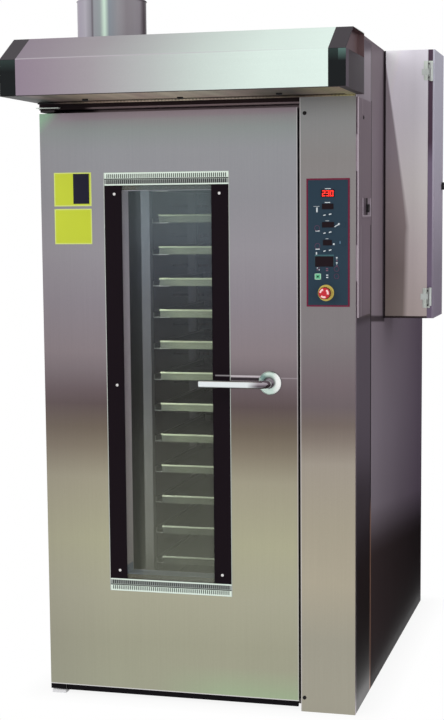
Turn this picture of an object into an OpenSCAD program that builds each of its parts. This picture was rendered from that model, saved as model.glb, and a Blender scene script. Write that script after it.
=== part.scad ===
// Rotating rack oven: a tall insulated cabinet with one glazed door, a steam canopy over it,
// a service column with the controls, a side cabinet for the switchgear and a driven rack inside.
// Millimetres, +Z up, the door faces -Y. The origin is on the floor, under the middle of the body.

/* [Body] */
// Width of the service gap between the insulation and the right side
service_gap = 58; // [52:1:110]
// Depth of the body, from the door's front face to the back
body_d = 1640; // [1600:1:1800]
// Height of the room for the motors above the insulation
attic_h = 192.7; // [185:0.1:260]
// Thickness of the outer steel sheet
sheet = 2; // [1:0.5:3]
// Height of the pan that the body stands on
base_h = 34; // [30:1:34]
// Thickness of the pan's plate
base_t = 4; // [3:0.5:6]
// Gap between two parts that are seated on each other
seat = 0.3; // [0.2:0.05:0.5]
// Radial clearance of a shaft in its bore
fit = 0.05; // [0.02:0.01:0.09]

/* [Baking chamber] */
// Width of the chamber
chamber_w = 880; // [860:1:900]
// Depth of the chamber, up to the slotted air wall
chamber_d = 860; // [840:1:900]
// Height of the chamber
chamber_h = 1930; // [1925:1:1935]
// Thickness of the chamber's lining
liner = 2; // [1:0.5:3]
// Height of the chamber's floor above the ground
floor_z = 60; // [56:1:66]
// Insulation on the left, between the sheet and the lining
lag_left = 102; // [90:1:110]
// Insulation on the right
lag_right = 56; // [40:1:60]
// Insulation at the back
lag_rear = 68; // [50:1:90]
// Insulation above the chamber
lag_top = 96; // [80:1:110]
// Thickness of the frame plate that the door closes on
frame_t = 3; // [2:0.5:5]
// Overlap of the frame plate over the chamber's left wall and ceiling
frame_lap = 6; // [4:1:12]
// Overlap of the door over the opening's right edge
lap_right = 16; // [14:1:24]
// Overlap of the door over the opening's upper edge
lap_top = 66; // [40:1:80]
// Rows of slots in the air wall
air_rows = 15; // [8:1:18]
// Height of a slot in the air wall
air_slot_h = 10; // [6:1:16]
// Length of a slot in the air wall
air_slot_l = 150; // [100:5:180]

/* [Door] */
// Thickness of the door
door_t = 75; // [70:1:80]
// Height of the door's lower edge above the floor
door_z = 35; // [35:1:45]
// Height of the door
door_h = 2015; // [2000:1:2015]
// Thickness of the door's sheet
door_sheet = 1.5; // [1:0.1:2]
// Gap between the door and the column
door_gap = 8; // [6:0.5:12]
// Depth of the sealing gap behind the door
seal_gap = 9; // [9:0.5:12]
// Width of the seal
seal_w = 18; // [12:1:22]
// Distance of the pivot axis from the door's left edge
pivot_inset = 27; // [24:1:28]
// Distance of the pivot axis behind the door's front face
pivot_depth = 30; // [29:1:34]
// Radius of the pivot pins
pivot_r = 9; // [7:0.5:11]
// Height of the pivot blocks in the door
pivot_block_h = 44; // [36:1:60]
// Height of the sweep under the door
sweep_h = 20; // [8:1:24]

/* [Window] */
// Distance of the window from the door's hinged edge
window_in = 232; // [210:1:250]
// Width of the window with its dark strips
window_w = 440; // [420:1:450]
// Height of the glazing's lower edge above the floor
glass_z = 432; // [420:1:460]
// Height of the glazing
glass_h = 1370; // [1340:1:1380]
// Width of a dark strip
strip_w = 61; // [50:1:70]
// Thickness of a dark strip
strip_t = 4; // [3:0.5:5]
// Height of the slotted vent above and below the glazing
vent_h = 44; // [34:1:50]
// Thickness of the vent plate
vent_t = 2.5; // [1.5:0.5:3]
// Distance between two vent slots
vent_pitch = 7; // [6.6:0.1:12]
// Width of a vent slot
vent_slot_w = 3.6; // [3:0.1:5]
// Height of a vent slot
vent_slot_h = 14; // [10:0.5:14]
// Thickness of a pane
pane_t = 4; // [3:0.5:6]

/* [Handle] */
// Distance of the handle's spindle from the door's free edge
handle_in = 96; // [90:1:106]
// Height of the spindle above the floor
handle_z = 1134; // [1000:1:1250]
// Radius of the lever's tube
lever_r = 13.5; // [10:0.5:15]
// Length of the lever from the spindle to its end
lever_l = 232; // [180:1:280]
// Distance of the lever in front of the door
lever_out = 70; // [60:1:90]
// Radius of the lever's bend
lever_bend = 28; // [20:1:34]
// Radius of the round plate behind the lever
rosette_r = 40; // [32:1:46]
// Thickness of the round plate
rosette_t = 10; // [6:0.5:12]
// Radius of the spindle
spindle_r = 8; // [6:0.5:10]
// Reach of the latch tongue past the column's edge
tongue_reach = 18; // [16:1:22]
// Width of the latch tongue
tongue_w = 22; // [16:1:26]
// Thickness of the latch tongue
tongue_t = 8; // [6:0.5:10]
// Depth of the tongue's middle behind the door's front face
tongue_y = 40; // [36:1:44]

/* [Service column] */
// Width of the column
column_w = 188; // [184:1:196]
// Depth of the column's own sheet
column_d = 298; // [270:1:330]
// Left edge of the control panel, from the column's left edge
panel_x = 23; // [12:1:30]
// Width of the control panel
panel_w = 145; // [130:1:150]
// Height of the control panel's lower edge above the floor
panel_z = 1393; // [1200:1:1450]
// Height of the control panel
panel_h = 423; // [400:1:440]
// Thickness of the control panel
panel_t = 3; // [2:0.5:5]
// Width of the panel's coloured edge
bezel_w = 5; // [3:0.5:8]
// Radius of the stop button's head
stop_r = 20; // [16:0.5:22]
// Travel of the stop button
stop_travel = 6; // [4:0.5:8]
// Height of the side cover's lower edge above the floor
cover_z = 1355; // [1300:1:1400]
// Height of the side cover
cover_h = 725; // [600:1:760]
// Depth of the side cover
cover_d = 262; // [220:1:262]
// Overlap of the cover over the opening behind it
cover_lap = 18; // [12:1:24]
// Radius of the cover's long, slim hinge
piano_r = 3.5; // [3:0.1:5]
// Radius of that hinge's pin
piano_pin_r = 1.5; // [1:0.1:2]
// Width of the plate round the cover's lock
pull_w = 172; // [120:1:180]
// Height of the plate round the cover's lock
pull_h = 68; // [50:1:90]

/* [Canopy] */
// How far the canopy stands out in front of the door
hood_out = 328; // [280:1:380]
// Height of the rail that shows between the door and the canopy
header_h = 24; // [16:1:30]
// Height of the upright front face
hood_face = 117; // [90:1:130]
// Depth of the sloped face
hood_slope = 131; // [100:1:160]
// How far the canopy stands out past the body's right side
hood_side = 27; // [10:1:40]
// Overhang of the canopy past the body's left side
hood_left = 6; // [0:1:20]
// Width of the dark caps at the canopy's ends
cap_w = 55; // [40:1:70]
// Depth of the suction slot in the underside
hood_slot = 45; // [30:1:60]
// Gap between the door's upper edge and the rail
header_gap = 12; // [10:1:18]
// Least height of the sloped face
hood_rise = 78; // [60:1:110]

/* [Flue] */
// Distance of the flue from the body's left side
flue_x = 184; // [160:1:220]
// Distance of the flue behind the door's front face
flue_y = 250; // [220:1:300]
// Outer radius of the flue pipe
flue_r = 94; // [80:1:105]
// Wall of the pipe and of the collar
flue_t = 2; // [1.5:0.5:4]
// Outer radius of the neck between the chamber and the pipe
neck_r = 64; // [50:1:68]
// Outer radius of the collar
collar_r = 122; // [116:1:140]
// Height of the collar
collar_h = 172; // [120:1:220]
// Height of the pipe above the roof
flue_h = 340; // [240:1:420]

/* [Electrical cabinet] */
// Distance of the cabinet behind the door's front face
ebox_y = 574; // [520:1:620]
// Depth of the cabinet along the oven's side
ebox_d = 260; // [240:1:520]
// Width of the cabinet's shell, out from the oven's side
ebox_w = 159; // [140:1:180]
// Height of the cabinet
ebox_h = 962; // [800:1:1000]
// Thickness of the cabinet's door
ebox_door_t = 23; // [18:1:30]
// Length of a hinge on the cabinet's door
ebox_hinge_h = 66; // [50:1:80]
// Distance of a hinge from the cabinet's top and bottom
ebox_hinge_in = 46; // [30:1:80]
// Radius of a hinge barrel
barrel_r = 6; // [5:0.5:8]
// Radius of a hinge pin
barrel_pin_r = 3; // [2:0.5:3.5]

/* [Rack] */
// Width of the rack
rack_w = 502; // [490:1:540]
// Depth of the rack
rack_d = 620; // [600:1:640]
// Side of a rack post
post = 32; // [24:1:34]
// Wall of a rack post
post_t = 2; // [1.5:0.5:3]
// Height of the lowest tray above the floor
tray_z0 = 217; // [216:1:245]
// Distance from the highest tray's rim to the chamber's ceiling
rack_head = 176; // [174:0.1:240]
// Number of trays
tray_n = 15; // [6:1:15]
// Height of a tray
tray_h = 28; // [20:1:34]
// Width of a tray
tray_w = 376; // [364:1:396]
// Thickness of a tray's sheet
tray_t = 1.5; // [1:0.1:2.5]
// Width of a shelf rail's ledge
rail_w = 60; // [56:1:66]
// Thickness of a shelf rail
rail_t = 2; // [1.5:0.5:3]
// Radius of a castor wheel
wheel_r = 50; // [44:1:50]
// Width of a castor wheel
wheel_w = 28; // [22:1:32]
// Trail of a castor
trail = 28; // [20:1:32]
// Gap under the wheels while the rack hangs from its carrier
lift = 8; // [5:1:12]

/* [Rack drive] */
// Radius of the drive shaft
shaft_r = 15; // [12:0.5:18]
// Radius of the shaft's bearing housing
bearing_r = 42; // [34:1:50]
// Side of the gear's square housing
gear_w = 150; // [120:1:170]
// Height of the gear's housing
gear_h = 110; // [90:1:120]
// Radius of the gear's motor
gear_motor_r = 52; // [40:1:54]
// Length of the gear's motor
gear_motor_l = 170; // [120:1:200]

/* [Fan] */
// Radius of the fan wheel
fan_r = 190; // [150:1:200]
// Height of the fan's blades
fan_h = 110; // [80:1:130]
// Number of blades
blades = 12; // [8:1:16]
// Radius of the fan's shaft
fan_shaft_r = 12; // [10:0.5:15]
// Radius of the fan's motor
fan_motor_r = 95; // [80:1:110]
// Height of the fan's motor
fan_motor_h = 133; // [100:1:150]

/* [Hidden] */
$fn = 48;

// Heights that follow from the chamber and the door
ch_top = floor_z + chamber_h;
lag_top_z = ch_top + liner + seat;
attic_z = lag_top_z + lag_top;
door_top = door_z + door_h;
header_z = door_top + header_gap;
hood_z = header_z + header_h;
body_h = max(attic_z + attic_h, hood_z + hood_face + hood_rise);

// Body planes
rib_drop = 8;
body_w = 2 * sheet + lag_left + 2 * liner + chamber_w + lag_right + service_gap;
xl = -body_w / 2;
xr = body_w / 2;
inner_l = xl + sheet + seat;
inner_r = xr - sheet - seat;
wall_top = body_h - sheet - seat;
back_in = body_d - sheet - seat;
col_l = xr - column_w;

// Door planes
door_l = xl;
door_r = col_l - door_gap;
frame_y = door_t + seal_gap;
handle_x = door_r - handle_in;
tongue_l = handle_in + door_gap + tongue_reach;
pivot_x = door_l + pivot_inset;
skin_back = door_t - door_sheet - seat;
pivot_plate_z = header_z - seat;

// Chamber planes
ch_l = xl + sheet + lag_left + liner;
ch_r = ch_l + chamber_w;
ch_x = (ch_l + ch_r) / 2;
ch_y0 = frame_y + frame_t + seat;
ch_y1 = ch_y0 + chamber_d;
ch_y = (ch_y0 + ch_y1) / 2;
liner_y1 = body_d - sheet - lag_rear;
fan_y = (ch_y1 + liner_y1) / 2;

// Frame opening
open_l = ch_l + frame_lap;
opening_r = door_r - lap_right;
open_top = min(ch_top - frame_lap, door_top - lap_top);

// Window planes
window_l = door_l + window_in;
window_r = window_l + window_w;
glass_top = glass_z + glass_h;
pane_l = window_l + strip_w / 2;
pane_r = window_r - strip_w / 2;
clear_l = window_l + strip_w;
clear_r = window_r - strip_w;
vent_top = glass_top + vent_h;
vent_bot = glass_z - vent_h;
pane_y = strip_t + seat;
reveal_y = pane_y + pane_t + seat;
inner_pane_y = door_t - door_sheet - pane_t - 2 * seat;

// Column and control panel planes
panel_l = col_l + panel_x;
stop_x = panel_l + panel_w * 0.455;
stop_z = panel_z + 46;
stop_stem_r = stop_r * 0.4;
collar_t = 2;
head_t = 24;
head_y = -panel_t - collar_t - stop_travel - 4;
cover_y = 20;
cover_t = 3;
pull_t = 2;
cover_x = xr + seat;
cover_axis_x = cover_x + piano_r;
cover_axis_y = cover_y - piano_r - 0.5;
lock_r = 14;
lock_t = 9;
lock_cam_l = 34;
cover_lock_y = cover_y + cover_d * 0.62;
cover_open_y = cover_lock_y + 18;
cover_lock_z = cover_z + cover_h * 0.5;

// Canopy planes
hood_l = xl - hood_left;
hood_r = xr + hood_side;
hood_top = body_h;
hood_back = -seat;
gable_in = 20;

// Flue
flue_cx = xl + flue_x;

// Electrical cabinet planes
ebox_x0 = xr + seat;
ebox_x1 = ebox_x0 + ebox_w;
ebox_z = body_h - ebox_h;
ebox_door_x = ebox_x1 + seat;
ebox_axis_x = ebox_door_x + ebox_door_t / 2;
ebox_axis_y = ebox_y - barrel_r - seat;
ebox_lock_y = ebox_y + ebox_d - 34;
ebox_lock_z = ebox_z + ebox_h / 2;
cable_r = 30;
cable_y = ebox_y + ebox_d / 2;
cable_z = ebox_z + ebox_h - 90;

// Rack planes
rack_l = ch_x - rack_w / 2;
rack_y0 = ch_y - rack_d / 2;
wheel_z = floor_z + lift + wheel_r;
fork_top = wheel_z + wheel_r + 14;
rack_base_z = fork_top + 6;
tray_pitch = (ch_top - rack_head - tray_h - tray_z0) / (tray_n - 1);
tray_top = tray_z0 + (tray_n - 1) * tray_pitch + tray_h;
rack_top_z = tray_top + 14;
hanger_z = rack_top_z + post + 17;
hanger_w = 120;
hanger_t = 8;
hanger_d = 360;
web_w = 24;
channel_z = hanger_z + hanger_t + 14;
channel_t = 8;
castor_in = 62;
king_r = 6;
tray_d = rack_d - 2 * post;

// Drive planes
bearing_z = lag_top_z + lag_top + seat;

// Fan planes
fan_top = ch_top - 46;
fan_z = fan_top - fan_h;

// Shared forms

module at_front() {
    translate([0, -body_d / 2, 0]) children();
}

// A box between two corners
module span(x0, x1, y0, y1, z0, z1) {
    translate([x0, y0, z0]) cube([x1 - x0, y1 - y0, z1 - z0]);
}

// A flat rectangle between two corners
module rect(x0, x1, y0, y1) {
    translate([x0, y0]) square([x1 - x0, y1 - y0]);
}

// A plate drawn in X and Z, from y to y + t
module plate_y(y, t) {
    translate([0, y + t, 0]) rotate([90, 0, 0]) linear_extrude(t) children();
}

// A plate or bar drawn in Y and Z, from x to x + t
module plate_x(x, t) {
    translate([x, 0, 0]) rotate([90, 0, 90]) linear_extrude(t) children();
}

module rod_x(r, x0, x1, y, z) {
    translate([x0, y, z]) rotate([0, 90, 0]) cylinder(h = x1 - x0, r = r);
}

module rod_y(r, x, y0, y1, z) {
    translate([x, y0, z]) rotate([-90, 0, 0]) cylinder(h = y1 - y0, r = r);
}

module rod_z(r, x, y, z0, z1) {
    translate([x, y, z0]) cylinder(h = z1 - z0, r = r);
}

// A slot with round ends along the first axis
module slot2d(x, y, l, w) {
    rect(x - l / 2 + w / 2, x + l / 2 - w / 2, y - w / 2, y + w / 2);
    translate([x - l / 2 + w / 2, y]) circle(d = w, $fn = 24);
    translate([x + l / 2 - w / 2, y]) circle(d = w, $fn = 24);
}

// Cabinet

module base_frame() {
    color("#6d6f70") at_front() {
        difference() {
            span(inner_l, inner_r, frame_y, back_in, 0, base_h);
            span(inner_l + base_t, inner_r - base_t, frame_y + base_t, back_in - base_t,
                base_t, base_h + 1);
        }
        // Ribs that carry the floor slab
        for (i = [1 : 3]) {
            y = frame_y + i * (back_in - frame_y) / 4;
            span(inner_l + base_t - 1, inner_r - base_t + 1, y - base_t / 2, y + base_t / 2,
                base_t - 1, base_h - rib_drop);
        }
    }
}

module left_panel() {
    color("#8b8688") at_front() plate_x(xl, sheet) difference() {
        rect(0, body_d, 0, wall_top);
        rect(-1, frame_y, -1, header_z);
    }
}

module right_panel() {
    color("#6f6a70") at_front() difference() {
        union() {
            plate_x(xr - sheet, sheet) rect(column_d + seat, body_d, 0, wall_top);
            span(xr - sheet - 18, xr - sheet, column_d + seat, column_d + seat + sheet,
                floor_z, wall_top - 12);
        }
        rod_x(cable_r, xr - sheet - 1, xr + 1, cable_y, cable_z);
    }
}

module rear_panel() {
    louvre_l = 120;
    color("#8b8688") at_front() plate_y(body_d - sheet, sheet) difference() {
        rect(inner_l, inner_r, 0, wall_top);
        for (k = [-1 : 1], i = [0 : 4])
            slot2d(k * body_w * 0.27, attic_z + attic_h * 0.3 + i * 22, louvre_l, 8);
    }
}

module roof_panel() {
    color("#8b8688") at_front() difference() {
        span(xl, xr, 0, body_d, body_h - sheet, body_h);
        rod_z(flue_r + 1, flue_cx, flue_y, body_h - sheet - 1, body_h + 1);
    }
}

module front_frame() {
    box_l = inner_l;
    box_r = col_l - seat;
    color("#77736f") at_front() difference() {
        union() {
            plate_y(frame_y, frame_t) difference() {
                rect(inner_l, inner_r, base_h + seat, wall_top);
                rect(open_l, opening_r, floor_z, open_top);
            }
            // Box rail above the door
            span(box_l, box_r, 0, sheet, header_z, wall_top);
            span(box_l, box_r, sheet, frame_y, header_z, header_z + sheet);
            // Lip that lines the opening's right edge
            span(opening_r, opening_r + 2, frame_y + frame_t, frame_y + frame_t + 30,
                floor_z, open_top);
        }
    }
}

module insulation() {
    z1 = floor_z - liner - seat;
    color("#c9b778") at_front() {
        // Floor slab in the pan
        span(inner_l + base_t + seat, inner_r - base_t - seat, frame_y + base_t + seat,
            back_in - base_t - seat, base_h - rib_drop + seat, z1);
        // Left, right and rear walls
        span(inner_l, ch_l - liner - seat, ch_y0, back_in, z1 + seat, lag_top_z - seat);
        span(ch_r + liner + seat, ch_r + liner + lag_right, ch_y0, back_in, z1 + seat,
            lag_top_z - seat);
        span(ch_l - liner, ch_r + liner, liner_y1 + seat, back_in, z1 + seat, lag_top_z - seat);
        // Roof slab
        difference() {
            span(inner_l, ch_r + liner + lag_right, ch_y0, back_in, lag_top_z, lag_top_z + lag_top);
            rod_z(neck_r + seat, flue_cx, flue_y, lag_top_z - 1, attic_z + 1);
            rod_z(bearing_r + seat, ch_x, ch_y, lag_top_z - 1, attic_z + 1);
            rod_z(bearing_r + seat, ch_x, fan_y, lag_top_z - 1, attic_z + 1);
        }
    }
}

module liner_sides() {
    z0 = floor_z + seat;
    z1 = ch_top - seat;
    color("#a9aaa6") at_front() {
        span(ch_l - liner, ch_l, ch_y0, liner_y1 - liner - seat, z0, z1);
        span(ch_r, ch_r + liner, ch_y0, liner_y1 - liner - seat, z0, z1);
        span(ch_l - liner, ch_r + liner, liner_y1 - liner, liner_y1, z0, z1);
    }
}

module liner_ends() {
    color("#b3b4b0") at_front() {
        span(ch_l - liner, ch_r + liner, ch_y0, liner_y1, floor_z - liner, floor_z);
        difference() {
            span(ch_l - liner, ch_r + liner, ch_y0, liner_y1, ch_top, ch_top + liner);
            rod_z(neck_r + seat, flue_cx, flue_y, ch_top - 1, ch_top + liner + 1);
            rod_z(shaft_r + 3, ch_x, ch_y, ch_top - 1, ch_top + liner + 1);
            rod_z(fan_shaft_r + 3, ch_x, fan_y, ch_top - 1, ch_top + liner + 1);
        }
    }
}

module air_wall() {
    end = chamber_h * 0.04;
    pitch = (chamber_h - 2 * end) / air_rows;
    color("#9c9d99") at_front() plate_y(ch_y1, liner) difference() {
        rect(ch_l + seat, ch_r - seat, floor_z + seat, ch_top - seat);
        for (i = [0 : air_rows - 1], s = [-1.5, -0.5, 0.5, 1.5])
            slot2d(ch_x + s * (air_slot_l + 40), floor_z + end + (i + 0.5) * pitch, air_slot_l,
                air_slot_h);
    }
}

module column_shell() {
    slot_l = tongue_l + 12;
    color("#7a7478") at_front() difference() {
        union() {
            span(col_l, xr, 0, sheet, 0, wall_top);
            span(xr - sheet, xr, sheet, column_d, 0, wall_top);
            span(col_l, col_l + sheet, sheet, frame_y - seat, 0, wall_top);
            // Stiffening flange behind the side's rear edge
            span(xr - sheet - 16, xr - sheet, column_d - sheet, column_d, floor_z, wall_top);
        }
        // Opening under the side cover
        span(xr - sheet - 1, xr + 1, cover_y + cover_lap, cover_open_y, cover_z + cover_lap,
            cover_z + cover_h - cover_lap);
        // Way in for the latch tongue
        span(col_l - 1, col_l + sheet + 1, tongue_y - tongue_t / 2 - 3, tongue_y + tongue_t / 2 + 3,
            handle_z - slot_l * 0.75, handle_z + tongue_w / 2 + 4);
        rod_y(stop_stem_r + 2, stop_x, -1, sheet + 1, stop_z);
    }
    // Fixed knuckles of the side cover's hinge
    color("#7a7478") at_front() for (z = cover_hinges()) {
        hinge_middle(cover_axis_x, cover_axis_y, z, cover_hinge_h(), piano_r, piano_pin_r);
        span(xr - 0.5, cover_axis_x, cover_axis_y - piano_r, cover_axis_y + 1.5,
            z - cover_hinge_h() / 6 + seat, z + cover_hinge_h() / 6 - seat);
    }
}

module control_bezel() {
    color("#8e1f2b") at_front() plate_y(-panel_t, panel_t - seat) difference() {
        rect(panel_l, panel_l + panel_w, panel_z, panel_z + panel_h);
        rect(panel_l + bezel_w, panel_l + panel_w - bezel_w, panel_z + bezel_w,
            panel_z + panel_h - bezel_w);
    }
}

module control_plate() {
    edge = bezel_w + seat;
    color("#1d2b3a") at_front() difference() {
        plate_y(-panel_t, panel_t - seat) rect(panel_l + edge, panel_l + panel_w - edge,
            panel_z + edge, panel_z + panel_h - edge);
        rod_y(stop_stem_r + fit, stop_x, -panel_t - 1, 1, stop_z);
    }
}

// Windows of the four digit displays and of the text display: x, z, width, height in the panel
displays = [
    [50, 362, 44, 24],
    [53, 322, 38, 18],
    [53, 262, 40, 18],
    [56, 203, 30, 18],
    [29, 133, 62, 34]
];

module control_displays() {
    color("#120c10") at_front() plate_y(-panel_t - seat - 1.2, 1.2) for (d = displays)
        rect(panel_l + d[0], panel_l + d[0] + d[2], panel_z + d[1], panel_z + d[1] + d[3]);
}

// Key pads: x, z, width, height in the panel
keys = [
    for (row = [0 : 2], c = [0 : 1]) [54 + c * 19, 181 + row * 59, 14, 9],
    for (row = [0 : 1]) [117, 204 + row * 60, 15, 15],
    for (c = [0 : 2]) [31 + c * 31.5, 113, 15, 14],
    [29, 91, 19, 18],
    for (c = [1 : 2]) [31 + c * 31.5, 93, 15, 14]
];

module control_keys() {
    color("#4b7a3c") at_front() plate_y(-panel_t - seat - 0.8, 0.8) for (k = keys)
        rect(panel_l + k[0], panel_l + k[0] + k[2], panel_z + k[1], panel_z + k[1] + k[3]);
}

module stop_collar() {
    color("#e0b81c") at_front() difference() {
        rod_y(stop_r + 7, stop_x, -panel_t - seat - collar_t, -panel_t - seat, stop_z);
        rod_y(stop_stem_r + fit, stop_x, -panel_t - seat - collar_t - 1, 0, stop_z);
    }
}

module stop_plunger() {
    color("#2a2a2a") at_front() {
        rod_y(stop_stem_r, stop_x, head_y, 34, stop_z);
        rod_y(stop_stem_r * 0.6, stop_x, head_y - head_t * 0.7, head_y, stop_z);
        rod_y(stop_stem_r + 5, stop_x, 26, 34, stop_z);
    }
}

module stop_head() {
    color("#b3202a") at_front() difference() {
        translate([stop_x, head_y - seat, stop_z]) rotate([90, 0, 0]) rotate_extrude() polygon([
            [0, 0], [stop_r * 0.72, 0], [stop_r, 3], [stop_r, head_t - 5],
            [stop_r - 3, head_t - 1.5], [stop_r * 0.6, head_t], [0, head_t]
        ]);
        rod_y(stop_stem_r * 0.6 + fit, stop_x, head_y - head_t * 0.7 - seat, head_y + 1, stop_z);
        // Finger notches round the rim
        for (a = [0 : 3]) translate([stop_x, head_y, stop_z]) rotate([0, 45 + a * 90, 0])
            rod_y(4, stop_r + 2, -head_t - 1, -head_t * 0.3, 0);
    }
}

// Canopy

hood_outer = [
    [-hood_out, hood_z], [-hood_out, hood_z + hood_face], [-hood_out + hood_slope, hood_top],
    [hood_back, hood_top], [hood_back, hood_z]
];
hood_inner = [
    [-hood_out + sheet, hood_z + sheet], [-hood_out + sheet, hood_z + hood_face - sheet * 0.3],
    [-hood_out + hood_slope + sheet * 0.3, hood_top - sheet], [hood_back - sheet, hood_top - sheet],
    [hood_back - sheet, hood_z + sheet]
];

// The part of the end above the upright face, inside the sheet
hood_gable = [
    [-hood_out + sheet, hood_z + hood_face], [-hood_out + hood_slope, hood_top - sheet],
    [hood_back - sheet, hood_top - sheet], [hood_back - sheet, hood_z + hood_face]
];

module hood_canopy() {
    color("#a39a9c") at_front() {
        difference() {
            plate_x(hood_l, hood_r - hood_l) polygon(hood_outer);
            plate_x(hood_l + sheet, hood_r - hood_l - 2 * sheet) polygon(hood_inner);
            // Seat of the separate underside
            span(hood_l - 1, hood_r + 1, -hood_out - 1, hood_back + 1, hood_z - 1, hood_z + sheet);
            // The gables are set back from the ends
            for (x = [hood_l - 1, hood_r - sheet - 1]) plate_x(x, sheet + 2) polygon(hood_gable);
            // The front sheet stops where the end caps begin
            for (x = [hood_l - 1, hood_r - cap_w - seat]) plate_x(x, cap_w + 1 + seat) polygon([
                [-hood_out - 5, hood_z - 1], [-hood_out - 5, hood_top + 5],
                hood_inner[2] + [seat, sheet + 5], hood_inner[2] + [seat, 0],
                hood_inner[1] + [seat, 0], [-hood_out + sheet + seat, hood_z - 1]
            ]);
        }
        for (x = [hood_l + gable_in, hood_r - gable_in - sheet]) {
            plate_x(x, sheet) polygon([
                hood_gable[0] + [seat + 1, -1], hood_gable[1] + [seat + 1, -0.4],
                hood_gable[1] + [seat + 2, 1], hood_gable[2] + [1, 1], hood_gable[3] + [1, -1]
            ]);
            // Ledge along the foot of the gable
            y0 = -hood_out + sheet + seat;
            span(x > 0 ? x : hood_l, x > 0 ? hood_r : x + sheet, y0, hood_back,
                hood_z + hood_face - sheet, hood_z + hood_face);
        }
    }
}

module hood_end_caps() {
    color("#17161a") at_front() for (x = [hood_l, hood_r - cap_w]) plate_x(x, cap_w) polygon([
        hood_outer[0] + [0, sheet + seat], hood_outer[1], hood_outer[2] - [seat * 1.6, seat],
        hood_inner[2] - [seat * 1.6, 0], hood_inner[1], [-hood_out + sheet, hood_z + sheet + seat]
    ]);
}

module hood_underside() {
    color("#8d8a6c") at_front() difference() {
        span(hood_l, hood_r, -hood_out, hood_back, hood_z, hood_z + sheet - seat);
        span(hood_l + cap_w, hood_r - cap_w, hood_back - 12 - hood_slot, hood_back - 12,
            hood_z - 1, hood_z + sheet);
    }
}

// Flue

module flue_collar() {
    color("#aeb0ac") at_front() translate([flue_cx, flue_y, body_h + seat]) rotate_extrude($fn = 96)
        polygon([
            [flue_r + seat, 0], [collar_r + 22, 0], [collar_r + 22, flue_t], [collar_r, flue_t],
            [collar_r, collar_h - 6], [collar_r + 2.5, collar_h - 3], [collar_r, collar_h],
            [collar_r - flue_t, collar_h], [collar_r - flue_t, flue_t], [flue_r + seat, flue_t]
        ]);
}

// Pipe on a reducing plate, with the neck that enters the chamber
module flue_pipe() {
    foot = attic_z + seat;
    top = body_h + flue_h;
    color("#b9bab5") at_front() translate([flue_cx, flue_y, 0]) difference() {
        union() {
            rod_z(flue_r, 0, 0, foot, top, $fn = 96);
            rod_z(neck_r, 0, 0, ch_top + seat, foot + 1, $fn = 96);
        }
        rod_z(flue_r - flue_t, 0, 0, foot + flue_t, top + 1, $fn = 96);
        rod_z(neck_r - flue_t, 0, 0, ch_top, foot + flue_t + 1, $fn = 96);
    }
}

// Electrical cabinet

module ebox_shell() {
    color("#9a9698") at_front() difference() {
        span(ebox_x0, ebox_x1, ebox_y, ebox_y + ebox_d, ebox_z, body_h);
        span(ebox_x0 + sheet, ebox_x1 + 1, ebox_y + sheet, ebox_y + ebox_d - sheet,
            ebox_z + sheet, body_h - sheet);
        rod_x(cable_r, ebox_x0 - 1, ebox_x0 + sheet + 1, cable_y, cable_z);
    }
    color("#9a9698") at_front() for (z = ebox_hinges()) {
        hinge_middle(ebox_axis_x, ebox_axis_y, z, ebox_hinge_h, barrel_r, barrel_pin_r);
        span(ebox_axis_x - 34, ebox_axis_x, ebox_axis_y + barrel_r - 2, ebox_y + 0.5,
            z - ebox_hinge_h / 6 + seat, z + ebox_hinge_h / 6 - seat);
    }
}

function ebox_hinges() = [
    ebox_z + ebox_hinge_in + ebox_hinge_h / 2, body_h - ebox_hinge_in - ebox_hinge_h / 2
];

// Fixed middle barrel of a hinge with its pin
module hinge_middle(x, y, z, h, r, pin_r) {
    rod_z(r, x, y, z - h / 6 + seat, z + h / 6 - seat);
    rod_z(pin_r, x, y, z - h / 2 + 1, z + h / 2 - 1);
}

// Moving outer barrels of a hinge, bored for the pin
module hinge_outer(x, y, z, h, r, pin_r) {
    for (s = [-1, 1]) difference() {
        rod_z(r, x, y, z + s * h / 3 - h / 6, z + s * h / 3 + h / 6);
        rod_z(pin_r + fit, x, y, z - h / 2 - 1, z + h / 2 + 1);
    }
}

module ebox_equipment() {
    plate_x0 = ebox_x0 + sheet + seat;
    rail_x = plate_x0 + sheet;
    edge = ebox_d * 0.05;
    side = ebox_d * 0.12;
    deep = [0.48, 0.38, 0.25];
    module on_rail(y, z, w, d, h) {
        span(rail_x + 6, rail_x + 6 + d, y, y + w, z - h / 2, z + h / 2);
    }
    color("#c8c9c4") at_front() {
        plate_x(plate_x0, sheet) rect(ebox_y + edge, ebox_y + ebox_d - edge, ebox_z + edge,
            body_h - edge);
        // Gland that fills the cable hole through both walls
        rod_x(cable_r - seat, xr - sheet - 10, plate_x0 + 0.5, cable_y, cable_z);
        for (k = [0 : 2]) {
            z = ebox_z + ebox_h * (0.2 + k * 0.24);
            // Mounting rail
            span(rail_x - 0.5, rail_x + 7, ebox_y + edge * 1.5, ebox_y + ebox_d - edge * 1.5,
                z - 17, z + 17);
            // Row of contactors below, breakers in the middle, terminals above
            n = [4, 9, 16][k];
            w = (ebox_d - 2 * side) / n;
            for (i = [0 : n - 1])
                on_rail(ebox_y + side + i * w, z, w - 3, ebox_w * deep[k], w * [1, 2, 2.4][k]);
        }
    }
}

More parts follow.
